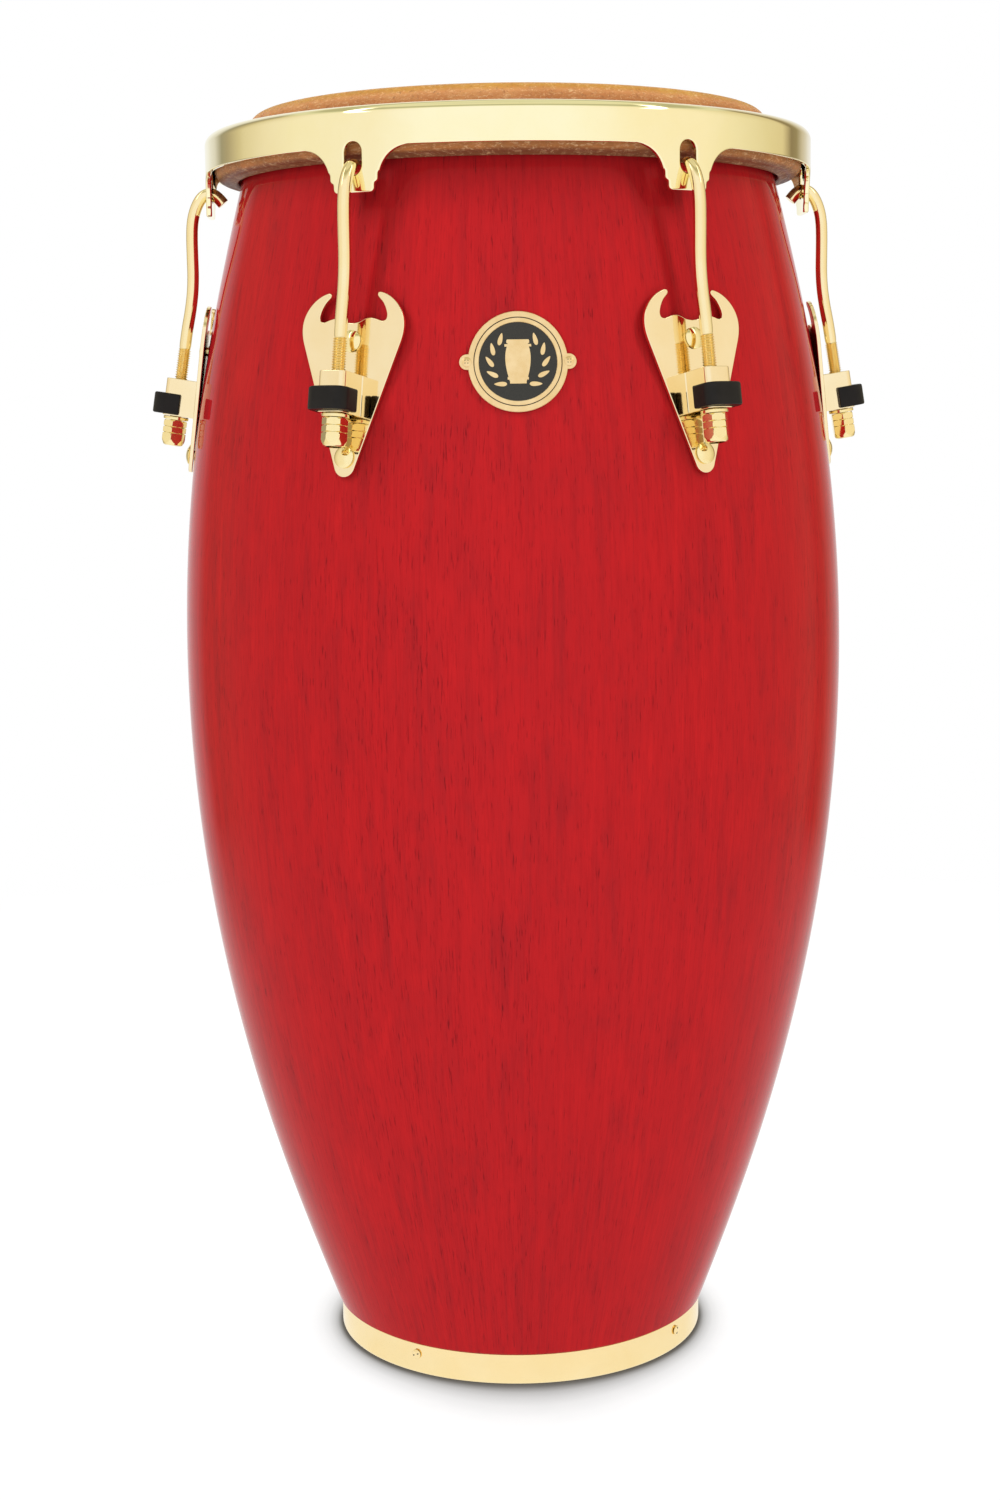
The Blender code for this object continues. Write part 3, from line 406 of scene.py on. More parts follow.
MATERIALS = {
    "lacquer": stave_lacquer(),
    "bare_wood": bare_wood(),
    "rawhide": rawhide(),
    "crown_gold": gold("crown_gold_fine", (0.985, 0.925, 0.630), (0.975, 0.905, 0.570), 0.032),
    "lug_gold": gold("lug_gold_fine", (0.955, 0.825, 0.560), (0.930, 0.770, 0.470), 0.070),
    "hook_gold": gold("hook_gold_fine", (0.960, 0.830, 0.520), (0.940, 0.780, 0.430), 0.090),
    "nut_gold": gold("nut_gold_fine", (0.965, 0.845, 0.490), (0.945, 0.790, 0.410), 0.090),
    # Painted shade: the threads get a deeper, darker gold than the rod they are cut in, standing in for the
    # shade and gold interreflections in their grooves.
    "thread_shaded_gold": gold("thread_gold_fine", (0.930, 0.740, 0.350), (0.900, 0.670, 0.260), 0.170),
    "base_gold": gold("base_gold_fine", (0.970, 0.790, 0.440), (0.955, 0.750, 0.380), 0.140),
    "rubber": rubber(),
    "enamel": enamel(),
    "badge_gold": brass_satin(),
    "zinc": zinc(),
}


# ---------------------------------------------------------------- meshes with their own normals

class Form:
    """Points that each carry a normal, and faces turned to agree with them."""

    def __init__(self):
        self.points = []
        self.normals = []
        self.faces = []
        self.slots = []

    def add(self, point, normal):
        self.points.append(Vector(point))
        self.normals.append(Vector(normal).normalized())
        return len(self.points) - 1

    def face(self, numbers, slot=0):
        if len(set(numbers)) < 3:
            return
        a, b, c = (self.points[numbers[k]] for k in (0, 1, 2))
        facing = (b - a).cross(c - a)
        if len(numbers) > 3:
            facing += (c - a).cross(self.points[numbers[3]] - a)
        wanted = sum((self.normals[k] for k in numbers), Vector())
        self.faces.append(list(numbers) if facing.dot(wanted) >= 0.0 else list(reversed(numbers)))
        self.slots.append(slot)

    def strip(self, first, second, closed=True, slot=0):
        count = len(first)
        for i in range(count if closed else count - 1):
            j = (i + 1) % count
            self.face((first[i], first[j], second[j], second[i]), slot)

    def skin(self, rows, closed=True, slot=0):
        """Strips between rows of equal length, each to the next."""
        for first, second in zip(rows, rows[1:]):
            self.strip(first, second, closed, slot)

    def cap(self, ring, middle, normal, slot=0):
        """A flat fan from a ring's own copy of its points to a middle point."""
        centre = self.add(middle, normal)
        edge = [self.add(self.points[k], normal) for k in ring]
        for i, number in enumerate(edge):
            self.face((number, edge[(i + 1) % len(edge)], centre), slot)

    def moved(self, matrix):
        turn = matrix.to_3x3()
        self.points = [matrix @ p for p in self.points]
        self.normals = [turn @ n for n in self.normals]

    def join(self, other, slot):
        start = len(self.points)
        self.points += other.points
        self.normals += other.normals
        self.faces += [[start + k for k in face] for face in other.faces]
        self.slots += [slot] * len(other.faces)

    def mesh(self, name, materials):
        made = bpy.data.meshes.new(name)
        made.from_pydata([tuple(p) for p in self.points], [], self.faces)
        for material in materials:
            made.materials.append(MATERIALS[material])
        made.polygons.foreach_set("material_index", self.slots)
        made.shade_smooth()
        made.normals_split_custom_set_from_vertices([tuple(n) for n in self.normals])
        made.update()
        return made


def add_object(name, mesh, matrix=None):
    made = bpy.data.objects.new(name, mesh)
    bpy.context.scene.collection.objects.link(made)
    if matrix is not None:
        made.matrix_world = matrix
    return made


def set_piece(name, mesh, node, body="shell", matrix=None):
    """A fine piece in place of one CAD node, riding on its body."""
    made = add_object(name, mesh, matrix)
    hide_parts(node)
    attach(made, body)


def set_on_lug(index, base, mesh, place, body="shell"):
    """A fine piece on one lug, its place given in the lug's frame. A body that ends in _ is numbered."""
    number = str(index + 1)
    riding = body + number if body.endswith("_") else body
    set_piece(base + "_fine_" + number, mesh, base + "_" + number, riding, lug_matrix(index) @ place)


def set_on_lugs(base, mesh, place=Matrix(), body="shell"):
    """The same fine piece on every lug."""
    for index in range(LUG_COUNT):
        set_on_lug(index, base, mesh, place, body)


def spread(start, end, steps):
    return [start + (end - start) * i / steps for i in range(steps + 1)]


def full_turn(around):
    return [2.0 * math.pi * i / around for i in range(around)]


def arc(centre, radius, start, end, steps):
    turns = [math.radians(angle) for angle in spread(start, end, steps)]
    return [(centre[0] + radius * math.cos(t), centre[1] + radius * math.sin(t)) for t in turns]


def bezier(points, steps):
    out = []
    for t in spread(0.0, 1.0, steps):
        s = 1.0 - t
        weights = (s * s * s, 3.0 * s * s * t, 3.0 * s * t * t, t * t * t)
        out.append(tuple(sum(w * p[k] for w, p in zip(weights, points)) for k in range(2)))
    return out


def flowing(points, steps):
    """A smooth line through the given points: centripetal Catmull-Rom, ends held."""
    spots = [Vector(p) for p in points]
    spots = [spots[0] * 2.0 - spots[1]] + spots + [spots[-1] * 2.0 - spots[-2]]

    def between(first, second, start, end, t):
        return first * ((end - t) / (end - start)) + second * ((t - start) / (end - start))

    out = []
    for k in range(1, len(spots) - 2):
        p0, p1, p2, p3 = spots[k - 1:k + 3]
        t1 = max((p1 - p0).length, SMALL) ** 0.5
        t2 = t1 + max((p2 - p1).length, SMALL) ** 0.5
        t3 = t2 + max((p3 - p2).length, SMALL) ** 0.5
        for t in spread(t1, t2, steps)[:-1]:
            middle = between(p1, p2, t1, t2, t)
            before = between(between(p0, p1, 0.0, t1, t), middle, 0.0, t2, t)
            after = between(middle, between(p2, p3, t2, t3, t), t1, t3, t)
            out.append(tuple(between(before, after, t1, t2, t)))
    out.append(tuple(points[-1]))
    return out


def mirrored(half):
    """Close a left-right symmetric outline from its right half, listed top to bottom."""
    return list(half) + [(-x, z) for x, z in reversed(half) if abs(x) > SMALL]


def side_normals(points, closed=True):
    """Unit normals to the right of a 2D line; long neighbours count for more."""
    count = len(points)
    out = []
    for i in range(count):
        before = points[i - 1] if closed or i > 0 else points[i]
        after = points[(i + 1) % count] if closed or i < count - 1 else points[i]
        here = points[i]
        total = Vector((0.0, 0.0))
        for a, b in ((before, here), (here, after)):
            step = Vector((b[0] - a[0], b[1] - a[1]))
            total += Vector((step.y, -step.x)) * step.length
        out.append(total.normalized() if total.length > 1e-15 else Vector((1.0, 0.0)))
    return out


def lathe(form, profile, around=AROUND, slot=0, flip=False):
    """Turn one smooth (radius, height) run about Z; its outside is on the right of its direction."""
    normals = side_normals(profile, closed=False)
    rows = []
    for (radius, height), normal in zip(profile, normals):
        if flip:
            normal = -normal
        row = []
        for turn in full_turn(around):
            s, c = math.sin(turn), math.cos(turn)
            row.append(form.add((radius * s, -radius * c, height), (normal.x * s, -normal.x * c, normal.y)))
        rows.append(row)
    form.skin(rows, slot=slot)


def crossings(point, edges, spots):
    """Times a line going up from a point meets the edges, odd when the point is inside."""
    x, z = point
    hits = 0
    for a, b in edges:
        (ax, az), (bx, bz) = spots[a], spots[b]
        if (ax > x) != (bx > x) and az + (bz - az) * (x - ax) / (bx - ax) > z:
            hits += 1
    return hits


def sheet(form, rims, thickness, edge, place, plain=(), inner=(), rounds=4, slot=0, both=True):
    """A flat pattern given thickness and rounded rims, put in space by place(x, z).

    rims are (points, closed) with the metal on their left; plain are lines left open.
    place gives the origin on the front face and the right, up and outward directions.
    """
    spots, edges = [], []

    def number(point):
        spots.append(Vector(point))
        return len(spots) - 1

    def put(x, z, depth, across, outward):
        origin, right, up, out = place(x, z)
        normal = right * across.x + up * across.y + out * outward
        return form.add(origin - out * depth, normal)

    turns = [0.5 * math.pi * k / rounds for k in range(rounds + 1)]
    for points, closed in rims:
        normals = side_normals(points, closed)
        rings = []
        fronts = [(t, edge * (1.0 - math.cos(t)), math.cos(t)) for t in turns]
        backs = [(t, thickness - edge * (1.0 - math.cos(t)), -math.cos(t)) for t in reversed(turns)]
        for turn, depth, outward in (fronts + backs if both else fronts):
            inset = edge * (1.0 - math.sin(turn))
            ring = []
            for (x, z), n in zip(points, normals):
                across = n * math.sin(turn)
                ring.append(put(x - n.x * inset, z - n.y * inset, depth, across, outward))
            rings.append(ring)
        form.skin(rings, closed, slot)
        loop = [number((x - n.x * edge, z - n.y * edge)) for (x, z), n in zip(points, normals)]
        edges += list(zip(loop, loop[1:] + loop[:1] if closed else loop[1:]))
    for points in plain:
        line = [number(p) for p in points]
        edges += list(zip(line, line[1:]))
    bounds_edges = list(edges)
    bounds_spots = list(spots)
    for point in inner:
        number(point)
    result = delaunay_2d_cdt(spots, edges, [], 1, 1e-9)
    fronts = [put(x, z, 0.0, ZERO, 1.0) for x, z in result[0]]
    backs = [put(x, z, thickness, ZERO, -1.0) for x, z in result[0]] if both else None
    for face in result[2]:
        middle = sum((result[0][k] for k in face), ZERO) / len(face)
        if crossings(middle, bounds_edges, bounds_spots) % 2 == 1:
            form.face([fronts[k] for k in face], slot)
            if both:
                form.face([backs[k] for k in face], slot)


def flat_place(front):
    """Upright pattern: x to the right, z up, facing -Y at y = front."""
    right, up, out = Vector((1, 0, 0)), Vector((0, 0, 1)), Vector((0, -1, 0))
    return lambda x, z: (Vector((x, front, z)), right, up, out)


def level_place(top):
    """Level pattern: x to the right, its second coordinate along Y, facing up at z = top."""
    right, up, out = Vector((1, 0, 0)), Vector((0, 1, 0)), Vector((0, 0, 1))
    return lambda x, y: (Vector((x, y, top)), right, up, out)


# ---------------------------------------------------------------- shared places

def spline_moments(xs, ys):
    """Second derivatives of the natural cubic spline through the given points."""
    count = len(xs)
    moments = [0.0] * count
    upper = [0.0] * count
    for i in range(1, count - 1):
        span = (xs[i] - xs[i - 1]) / (xs[i + 1] - xs[i - 1])
        pivot = span * moments[i - 1] + 2.0
        moments[i] = (span - 1.0) / pivot
        rise = (ys[i + 1] - ys[i]) / (xs[i + 1] - xs[i]) - (ys[i] - ys[i - 1]) / (xs[i] - xs[i - 1])
        upper[i] = (6.0 * rise / (xs[i + 1] - xs[i - 1]) - span * upper[i - 1]) / pivot
    for i in range(count - 2, -1, -1):
        moments[i] = moments[i] * moments[i + 1] + upper[i]
    return moments


SHELL_MOMENTS = spline_moments(SHELL_HEIGHTS, SHELL_RADII)


def shell_radius(height):
    last = len(SHELL_HEIGHTS) - 1
    k = 0
    while k < last - 1 and height > SHELL_HEIGHTS[k + 1]:
        k += 1
    low, high = SHELL_HEIGHTS[k], SHELL_HEIGHTS[k + 1]
    if height > high:
        slope = (SHELL_RADII[k + 1] - SHELL_RADII[k]) / (high - low)
        slope += (high - low) * (SHELL_MOMENTS[k] + 2.0 * SHELL_MOMENTS[k + 1]) / 6.0
        return SHELL_RADII[k + 1] + slope * (height - high)
    a = (high - height) / (high - low)
    b = (height - low) / (high - low)
    bend = (a ** 3 - a) * SHELL_MOMENTS[k] + (b ** 3 - b) * SHELL_MOMENTS[k + 1]
    return a * SHELL_RADII[k] + b * SHELL_RADII[k + 1] + bend * (high - low) ** 2 / 6.0


def radial(azimuth):
    return Matrix.Rotation(math.radians(azimuth), 4, "Z")


OUTWARD = Matrix.Rotation(math.radians(90.0), 4, "X")


def lug_matrix(index):
    """Frame on a side plate's outer face: X across, -Y out, +Z up along the plate."""
    turn = radial(LUG_START + 360.0 / LUG_COUNT * index)
    place = Matrix.Translation((0.0, -PLATE_FACE_RADIUS, PLATE_FACE_HEIGHT))
    return turn @ place @ Matrix.Rotation(-PLATE_TILT, 4, "X")


def bolt_axis(height):
    """Frame of a bolt in the lug frame, +Z pointing out of the plate."""
    return Matrix.Translation((0.0, 0.0, height)) @ OUTWARD


def on_shell(across, height, lift):
    """Place on the shell round the badge's middle: origin, right, up and out."""
    radius = shell_radius(height) + lift
    turn = math.radians(BADGE_AZIMUTH) + across / shell_radius(BADGE_HEIGHT)
    s, c = math.sin(turn), math.cos(turn)
    slope = (shell_radius(height + 0.001) - shell_radius(height - 0.001)) / 0.002
    right = Vector((c, s, 0.0))
    up = Vector((slope * s, -slope * c, 1.0)).normalized()
    return Vector((radius * s, -radius * c, height)), right, up, right.cross(up)


def badge_place(lift):
    return lambda x, z: on_shell(x, BADGE_HEIGHT + z, lift)


# ---------------------------------------------------------------- shell, base ring, head

def build_shell():
    form = Form()
    top = HEIGHT - HIDE_THICKNESS - GAP
    neck = top - 0.0070
    edge = 0.0009
    inner_top = (BEARING_RADIUS - 0.0016, top - 0.0010)
    low_inner = shell_radius(0.0) - SHELL_WALL
    outer = arc((shell_radius(REBATE_TOP) - edge, REBATE_TOP + edge), edge, -90.0, 0.0, 4)[:-1]
    outer += [(shell_radius(z), z) for z in spread(REBATE_TOP + edge, neck, 120)]
    lathe(form, outer)
    lathe(form, [(REBATE_RADIUS, SHELL_BOTTOM), (REBATE_RADIUS, REBATE_TOP)])
    lathe(form, [(REBATE_RADIUS, REBATE_TOP), (shell_radius(REBATE_TOP) - edge, REBATE_TOP)])
    high = shell_radius(neck)
    round_over = flowing([(high, neck), (high - 0.0014, top - 0.0036), (high - 0.0044, top - 0.0012),
                          (BEARING_RADIUS + 0.0020, top), inner_top], 5)
    lathe(form, round_over, slot=1)
    inner = [inner_top] + [(shell_radius(z) - SHELL_WALL, z) for z in spread(neck - 0.004, 0.026, 60)]
    lathe(form, inner + [(low_inner, SHELL_BOTTOM)], slot=1)
    lathe(form, [(low_inner, SHELL_BOTTOM), (REBATE_RADIUS, SHELL_BOTTOM)], slot=1)
    set_piece("shell_staves", form.mesh("shell_staves", ["lacquer", "bare_wood"]), "shell")


def build_base_ring():
    form = Form()
    inner = BASE_RADIUS - BASE_SHEET
    bend = 0.0022
    rim = 0.0009
    outside = [(BASE_LIP_RADIUS + rim, 0.0)]
    outside += arc((BASE_RADIUS - bend, bend), bend, -90.0, 0.0, 8)
    outside += arc((BASE_RADIUS - rim, BASE_HEIGHT - rim), rim, 0.0, 90.0, 5)
    outside += arc((inner + rim, BASE_HEIGHT - rim), rim, 90.0, 180.0, 5)
    outside += [(inner, BASE_SHEET)]
    lathe(form, outside)
    lip = [(inner, BASE_SHEET)]
    lip += arc((BASE_LIP_RADIUS + rim, BASE_SHEET - rim), rim, 90.0, 180.0, 4)
    lip += arc((BASE_LIP_RADIUS + rim, rim), rim, 180.0, 270.0, 4)
    lathe(form, lip)
    mesh = form.mesh("base_ring_polished", ["base_gold"])
    set_piece("base_ring_polished", mesh, "base_ring")


def domed_head(radius, height, rim, around=32, steps=6):
    """Smooth low dome on a short rim, sitting on z = GAP."""
    form = Form()
    edge = rim * 0.45
    bulge = height - rim
    sphere = (radius * radius + bulge * bulge) / (2.0 * bulge)
    profile = [(radius - edge, GAP), (radius, GAP + edge), (radius, rim)]
    for i in range(1, steps + 1):
        r = radius * math.cos(0.5 * math.pi * i / steps)
        profile.append((max(r, 1e-5), rim + math.sqrt(max(sphere * sphere - r * r, 0.0)) - sphere + bulge))
    lathe(form, profile, around)
    return form


def build_base_screws():
    form = domed_head(radius=0.0030, height=0.0017, rim=0.0009)
    # Painted shade: the screw's slot is a thin black bar poking out of the dome, in the black rubber finish,
    # in place of the shade in a cut slot.
    slot_shade_form = Form()
    long, wide = 0.0021, 0.00035
    groove = [(-long, -wide), (long, -wide), (long, wide), (-long, wide)]
    sheet(slot_shade_form, [(groove, True)], 0.0004, 0.0001, level_place(0.00162), rounds=1)
    form.join(slot_shade_form, 1)
    mesh = form.mesh("base_screw_head", ["base_gold", "rubber"])
    place = Matrix.Translation((0.0, -BASE_RADIUS, BASE_SCREW_HEIGHT))
    for index in range(4):
        number = str(index + 1)
        spin = Matrix.Rotation(0.4 + 0.9 * index, 4, "Z")  # each screw's groove its own way
        set_piece("base_screw_fine_" + number, mesh, "base_screw_" + number,
                  matrix=radial(BASE_SCREW_START + 90.0 * index) @ place @ OUTWARD @ spin)


def hide_centreline():
    half = HIDE_THICKNESS / 2.0
    top = HEIGHT - half
    corner = shell_radius(0.7500) + GAP + half
    over = [(BEARING_RADIUS + 0.0024, top), (corner - 0.0078, top - 0.0004), (corner - 0.0042, top - 0.0016)]
    over += [(corner - 0.0012, top - 0.0046), (corner - 0.0002, top - 0.0080)]
    over += [(shell_radius(0.7440) + GAP + half + 0.0002, 0.7440)]
    over += [(shell_radius(0.7385) + 0.0034, 0.7384), (HOOP_RADIUS - 0.0057, 0.7350)]
    wrap = HOOP_WIRE + GAP + half
    over += [(HOOP_RADIUS + a, HOOP_HEIGHT + b) for a, b in arc((0.0, 0.0), wrap, 90.0, -110.0, 8)]
    over += [(HOOP_RADIUS - 0.0062, HOOP_HEIGHT - 0.0066)]
    over += [(shell_radius(0.7250) + 0.0036, HOOP_HEIGHT - 0.0041)]
    flat = [(r, top) for r in (0.0001, 0.02, 0.05, 0.08, 0.11, 0.13)]
    return flat + flowing(over, 5)


def ripple(turn, height):
    """Slow unevenness of the hide's surface, from a few waves round the drum."""
    value = 0.0
    for count, weight, drift in ((7, 0.30, 60.0), (17, 0.25, 140.0), (31, 0.25, 260.0), (53, 0.20, 420.0)):
        value += weight * math.sin(count * turn + drift * height + count)
    return value


def build_head():
    path = hide_centreline()
    normals = side_normals(path, closed=False)
    half = HIDE_THICKNESS / 2.0
    form = Form()
    turns = full_turn(360)
    rows = []
    for side in (-1.0, 1.0):
        for (radius, height), normal in zip(path, normals):
            across = -side * normal
            loose = min(max((HEIGHT - height) / 0.006, 0.0), 1.0)
            row = []
            for t in turns:
                reach = half + (0.00022 * loose * ripple(t, height) if side < 0.0 else 0.0)
                r = max(radius + across.x * reach, 1e-5)
                z = height + across.y * reach
                if side < 0.0:
                    z = min(z, HEIGHT)
                s, c = math.sin(t), math.cos(t)
                row.append(form.add((r * s, -r * c, z), (across.x * s, -across.x * c, across.y)))
            rows.append(row)
    count = len(path)
    form.skin(rows[:count])
    form.skin(rows[count:])
    form.strip(rows[count - 1], rows[-1])
    made = add_object("rawhide_head", form.mesh("hide", ["rawhide"]))
    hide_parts("drumhead")
    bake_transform(made)


# ---------------------------------------------------------------- crown

def ear_outline():
    """Right half of the crown's lower edge, from the middle of an ear to the plain band."""
    half_width, corner = 0.01275, 0.0025
    points = [(0.0, EAR_BOTTOM)]
    points += arc((half_width - corner, EAR_BOTTOM + corner), corner, -90.0, 0.0, 6)
    points += flowing([(0.01275, 0.7060), (0.01300, 0.7072), (0.01400, 0.7079), (0.01480, 0.7088),
                       (0.01500, 0.7105), (0.01510, 0.7122), (0.01560, 0.7131), (0.0162, 0.7136)], 3)
    sweep = ((0.0162, 0.7136), (0.0180, 0.7195), (0.0230, 0.7255), (0.0330, CROWN_BAND_BOTTOM))
    points += bezier(sweep, 18)[1:]
    return points


def build_crown():
    form = Form()
    per_sector = AROUND // LUG_COUNT
    step = 2.0 * math.pi * CROWN_RADIUS / AROUND
    side = step * per_sector / 2.0
    edge = 0.0011
    half = ear_outline()
    flat = [(step * k, CROWN_BAND_BOTTOM) for k in range(1, per_sector // 2 + 1) if step * k > half[-1][0]]
    right = half + flat
    bottom = [(-x, z) for x, z in reversed(right)][:-1] + right
    top = [(step * k, CROWN_WALL_TOP) for k in range(-(per_sector // 2), per_sector // 2 + 1)]
    low = CROWN_BAND_BOTTOM + edge
    frame_lines = [top, [(-side, low), top[0]], [(side, low), top[-1]]]
    slot_radius, slot_top, slot_bottom = 0.0055, 0.7295, 0.7118
    slot = arc((0.0, slot_top - slot_radius), slot_radius, 0.0, 180.0, 16)
    slot += arc((0.0, slot_bottom + slot_radius), slot_radius, 180.0, 360.0, 16)
    slot.reverse()
    lowest_row, row_gap = 0.7042, 0.0042
    inner = [(step * k, lowest_row + row_gap * j)
             for k in range(-(per_sector // 2) + 1, per_sector // 2) for j in range(7)]
    for index in range(LUG_COUNT):
        middle = math.radians(LUG_START + 360.0 / LUG_COUNT * index)

        def place(x, z, middle=middle):
            t = middle + x / CROWN_RADIUS
            s, c = math.sin(t), math.cos(t)
            out = Vector((s, -c, 0.0))
            return out * CROWN_RADIUS + Vector((0, 0, z)), Vector((c, s, 0.0)), Vector((0, 0, 1)), out

        sheet(form, [(bottom, False), (slot, True)], CROWN_SHEET, edge, place, frame_lines, inner)
    bend = (CROWN_RADIUS - CROWN_SHOULDER, CROWN_TOP - CROWN_SHOULDER)
    lip = 0.0040
    sheet_round = CROWN_SHEET / 2.0
    outer = [(CROWN_RADIUS, CROWN_WALL_TOP), (CROWN_RADIUS, CROWN_WALL_TOP + 0.006)]
    outer += arc(bend, CROWN_SHOULDER, 0.0, 90.0, 16)
    outer += arc((CROWN_LIP_RADIUS + lip, CROWN_TOP - lip), lip, 90.0, 180.0, 10)
    lip_end = (CROWN_LIP_RADIUS + sheet_round, CROWN_LIP_BOTTOM + sheet_round)
    outer += arc(lip_end, sheet_round, 180.0, 360.0, 10)
    outer += [(CROWN_LIP_RADIUS + CROWN_SHEET, CROWN_TOP - lip - 0.0008)]
    curl = 0.0012
    under_top = CROWN_TOP - CROWN_SHEET - curl
    outer += arc((CROWN_LIP_RADIUS + CROWN_SHEET + curl, under_top), curl, 180.0, 90.0, 4)
    outer += arc(bend, CROWN_SHOULDER - CROWN_SHEET, 90.0, 0.0, 6)
    outer += [(CROWN_RADIUS - CROWN_SHEET, CROWN_WALL_TOP)]
    lathe(form, outer)
    set_piece("crown_polished", form.mesh("crown_polished", ["crown_gold"]), "crown", "crown")


# ---------------------------------------------------------------- lugs

def plate_outline():
    """Horned side plate, listed round from the middle of its top edge, metal on the left."""
    notch = [(0.0, 0.0330), (0.0040, 0.0336), (0.0078, 0.0353), (0.0112, 0.0358), (0.0150, 0.0350),
             (0.0185, 0.0339), (0.0206, 0.0345), (0.0213, 0.0363), (0.0206, 0.0396), (0.0184, 0.0438),
             (0.0150, 0.0474), (0.0147, 0.0485), (0.0152, 0.0495), (0.0164, 0.0498)]
    half = flowing(notch, 4)
    half += bezier(((0.0164, 0.0498), (0.0245, 0.0482), (0.0323, 0.0400), (0.0323, 0.0308)), 16)[1:]
    half += bezier(((0.0323, 0.0308), (0.0323, 0.0270), (0.0315, 0.0240), (0.0300, 0.0200)), 6)[1:]
    tip = 0.0065
    turn = math.radians(-19.0)
    landing = (tip * math.cos(turn), -0.0448 + tip * math.sin(turn))
    half += list(zip(spread(0.0300, landing[0], 8), spread(0.0200, landing[1], 8)))[1:-1]
    half += arc((0.0, -0.0448), tip, -19.0, -90.0, 12)
    return list(reversed(mirrored(half)))


def bracket_outline():
    """Plan of the bent bracket, open towards the plate, metal on the left of its direction."""
    half, depth, wall = BRACKET_HALF_WIDTH, BRACKET_DEPTH, BRACKET_WALL
    bend, inside, overlap = 0.0032, 0.0008, 0.0004
    cavity, floor = half - wall - inside, -(depth - wall - inside)
    points = [(-half, overlap)] + arc((-half + bend, -(depth - bend)), bend, 180.0, 270.0, 8)
    points += arc((half - bend, -(depth - bend)), bend, 270.0, 360.0, 8) + [(half, overlap)]
    points += [(half - wall, overlap)] + arc((cavity, floor), inside, 0.0, -90.0, 4)
    points += arc((-cavity, floor), inside, 270.0, 180.0, 4) + [(-half + wall, overlap)]
    return points


def build_plates():
    form = Form()
    hole_radius, edge = 0.0034, 0.0005
    holes = [list(reversed(arc((0.0, z), hole_radius, 0.0, 345.0, 23))) for z in (UPPER_BOLT_Z, LOWER_BOLT_Z)]
    rims = [(plate_outline(), True)] + [(hole, True) for hole in holes]
    sheet(form, rims, PLATE_THICKNESS, edge, flat_place(0.0))
    length = BRACKET_TOP - BRACKET_BOTTOM
    sheet(form, [(bracket_outline(), True)], length, edge, level_place(BRACKET_TOP), rounds=3)
    fillet(form)
    set_on_lugs("side_plate", form.mesh("side_plate_fine", ["lug_gold"]))


def fillet(form):
    """Small weld runs where the bracket's two walls meet the plate."""
    radius = 0.0009
    for side in (-1.0, 1.0):
        rows = []
        for height in (BRACKET_TOP - 0.0004, BRACKET_BOTTOM + 0.0004):
            row = []
            for turn in spread(0.0, 0.5 * math.pi, 6):
                x = side * (BRACKET_HALF_WIDTH + radius - radius * math.sin(turn))
                y = -(radius - radius * math.cos(turn))
                row.append(form.add((x, y, height), (side * math.sin(turn), -math.cos(turn), 0.0)))
            rows.append(row)
        form.strip(rows[0], rows[1], closed=False)


def guard_outline():
    """Plan of the rubber guard, a thick U round the front of the bracket, metal on the left."""
    half, front, back, bend = 0.0122, 0.0262, 0.0097, 0.0066
    outer_edge, inner_edge, inside = 0.0006, 0.0005, 0.0032
    cavity, floor = BRACKET_HALF_WIDTH + GAP, BRACKET_DEPTH + GAP
    corner = -(front - bend - 0.0003)
    bulge = [(x, -front + 0.0006 * (x / 0.0088) ** 2) for x in (-0.0045, -0.0022, 0.0, 0.0022, 0.0045)]
    points = [(-half + outer_edge, -back), (-half, -back - outer_edge)]
    points += arc((-half + bend, corner), bend, 180.0, 262.0, 12) + bulge
    points += arc((half - bend, corner), bend, 278.0, 360.0, 12)
    points += [(half, -back - outer_edge), (half - outer_edge, -back)]
    points += [(cavity + inner_edge, -back), (cavity, -back - inner_edge)]
    points += arc((cavity - inside, -(floor - inside)), inside, 0.0, -90.0, 6)
    points += arc((-cavity + inside, -(floor - inside)), inside, 270.0, 180.0, 6)
    points += [(-cavity, -back - inner_edge), (-cavity - inner_edge, -back)]
    return points


def build_guards():
    form = Form()
    top, bottom, edge = -0.0052, -0.0178, 0.0011
    sheet(form, [(guard_outline(), True)], top - bottom, edge, level_place(top), rounds=5)
    set_on_lugs("rubber_guard", form.mesh("rubber_guard_fine", ["rubber"]))


ON_HOOK = Matrix.Translation((0.0, -HOOK_OFFSET, 0.0))


def build_washers():
    form = Form()
    top = BRACKET_BOTTOM - GAP
    bottom = top - WASHER_THICKNESS
    edge, radius = 0.0005, 0.0077
    profile = [(NUT_BORE, bottom), (radius - edge, bottom)]
    profile += arc((radius - edge, bottom + edge), edge, -90.0, 0.0, 4)[1:]
    profile += arc((radius - edge, top - edge), edge, 0.0, 90.0, 4)
    profile += [(NUT_BORE, top)]
    lathe(form, profile, 64)
    lathe(form, [(NUT_BORE, top), (NUT_BORE, bottom)], 64)
    set_on_lugs("lug_washer", form.mesh("washer_fine", ["nut_gold"]), ON_HOOK)


def nut_reach(turn, drop):
    """Radius of the nut's side at an angle and a depth below its top face."""
    flat = NUT_FLATS / 2.0
    corner = flat / math.cos(math.radians(30.0))
    folded = (turn + math.radians(30.0)) % math.radians(60.0) - math.radians(30.0)
    taper_start, lip_start = NUT_LENGTH - 0.0036, NUT_LENGTH - 0.0004
    limits = [corner - 0.00007]
    limits += [flat - 0.00006 + max(abs(drop - groove) - 0.00012, 0.0) * 4.5 for groove in NUT_GROOVES]
    limits += [corner - max(0.0009 - drop, 0.0) * 0.9, corner - max(drop - taper_start, 0.0) * 0.46]
    if drop > lip_start:
        limits.append(corner - 0.0015 - (drop - lip_start) * 1.6)
    return min(flat / math.cos(folded), *limits)


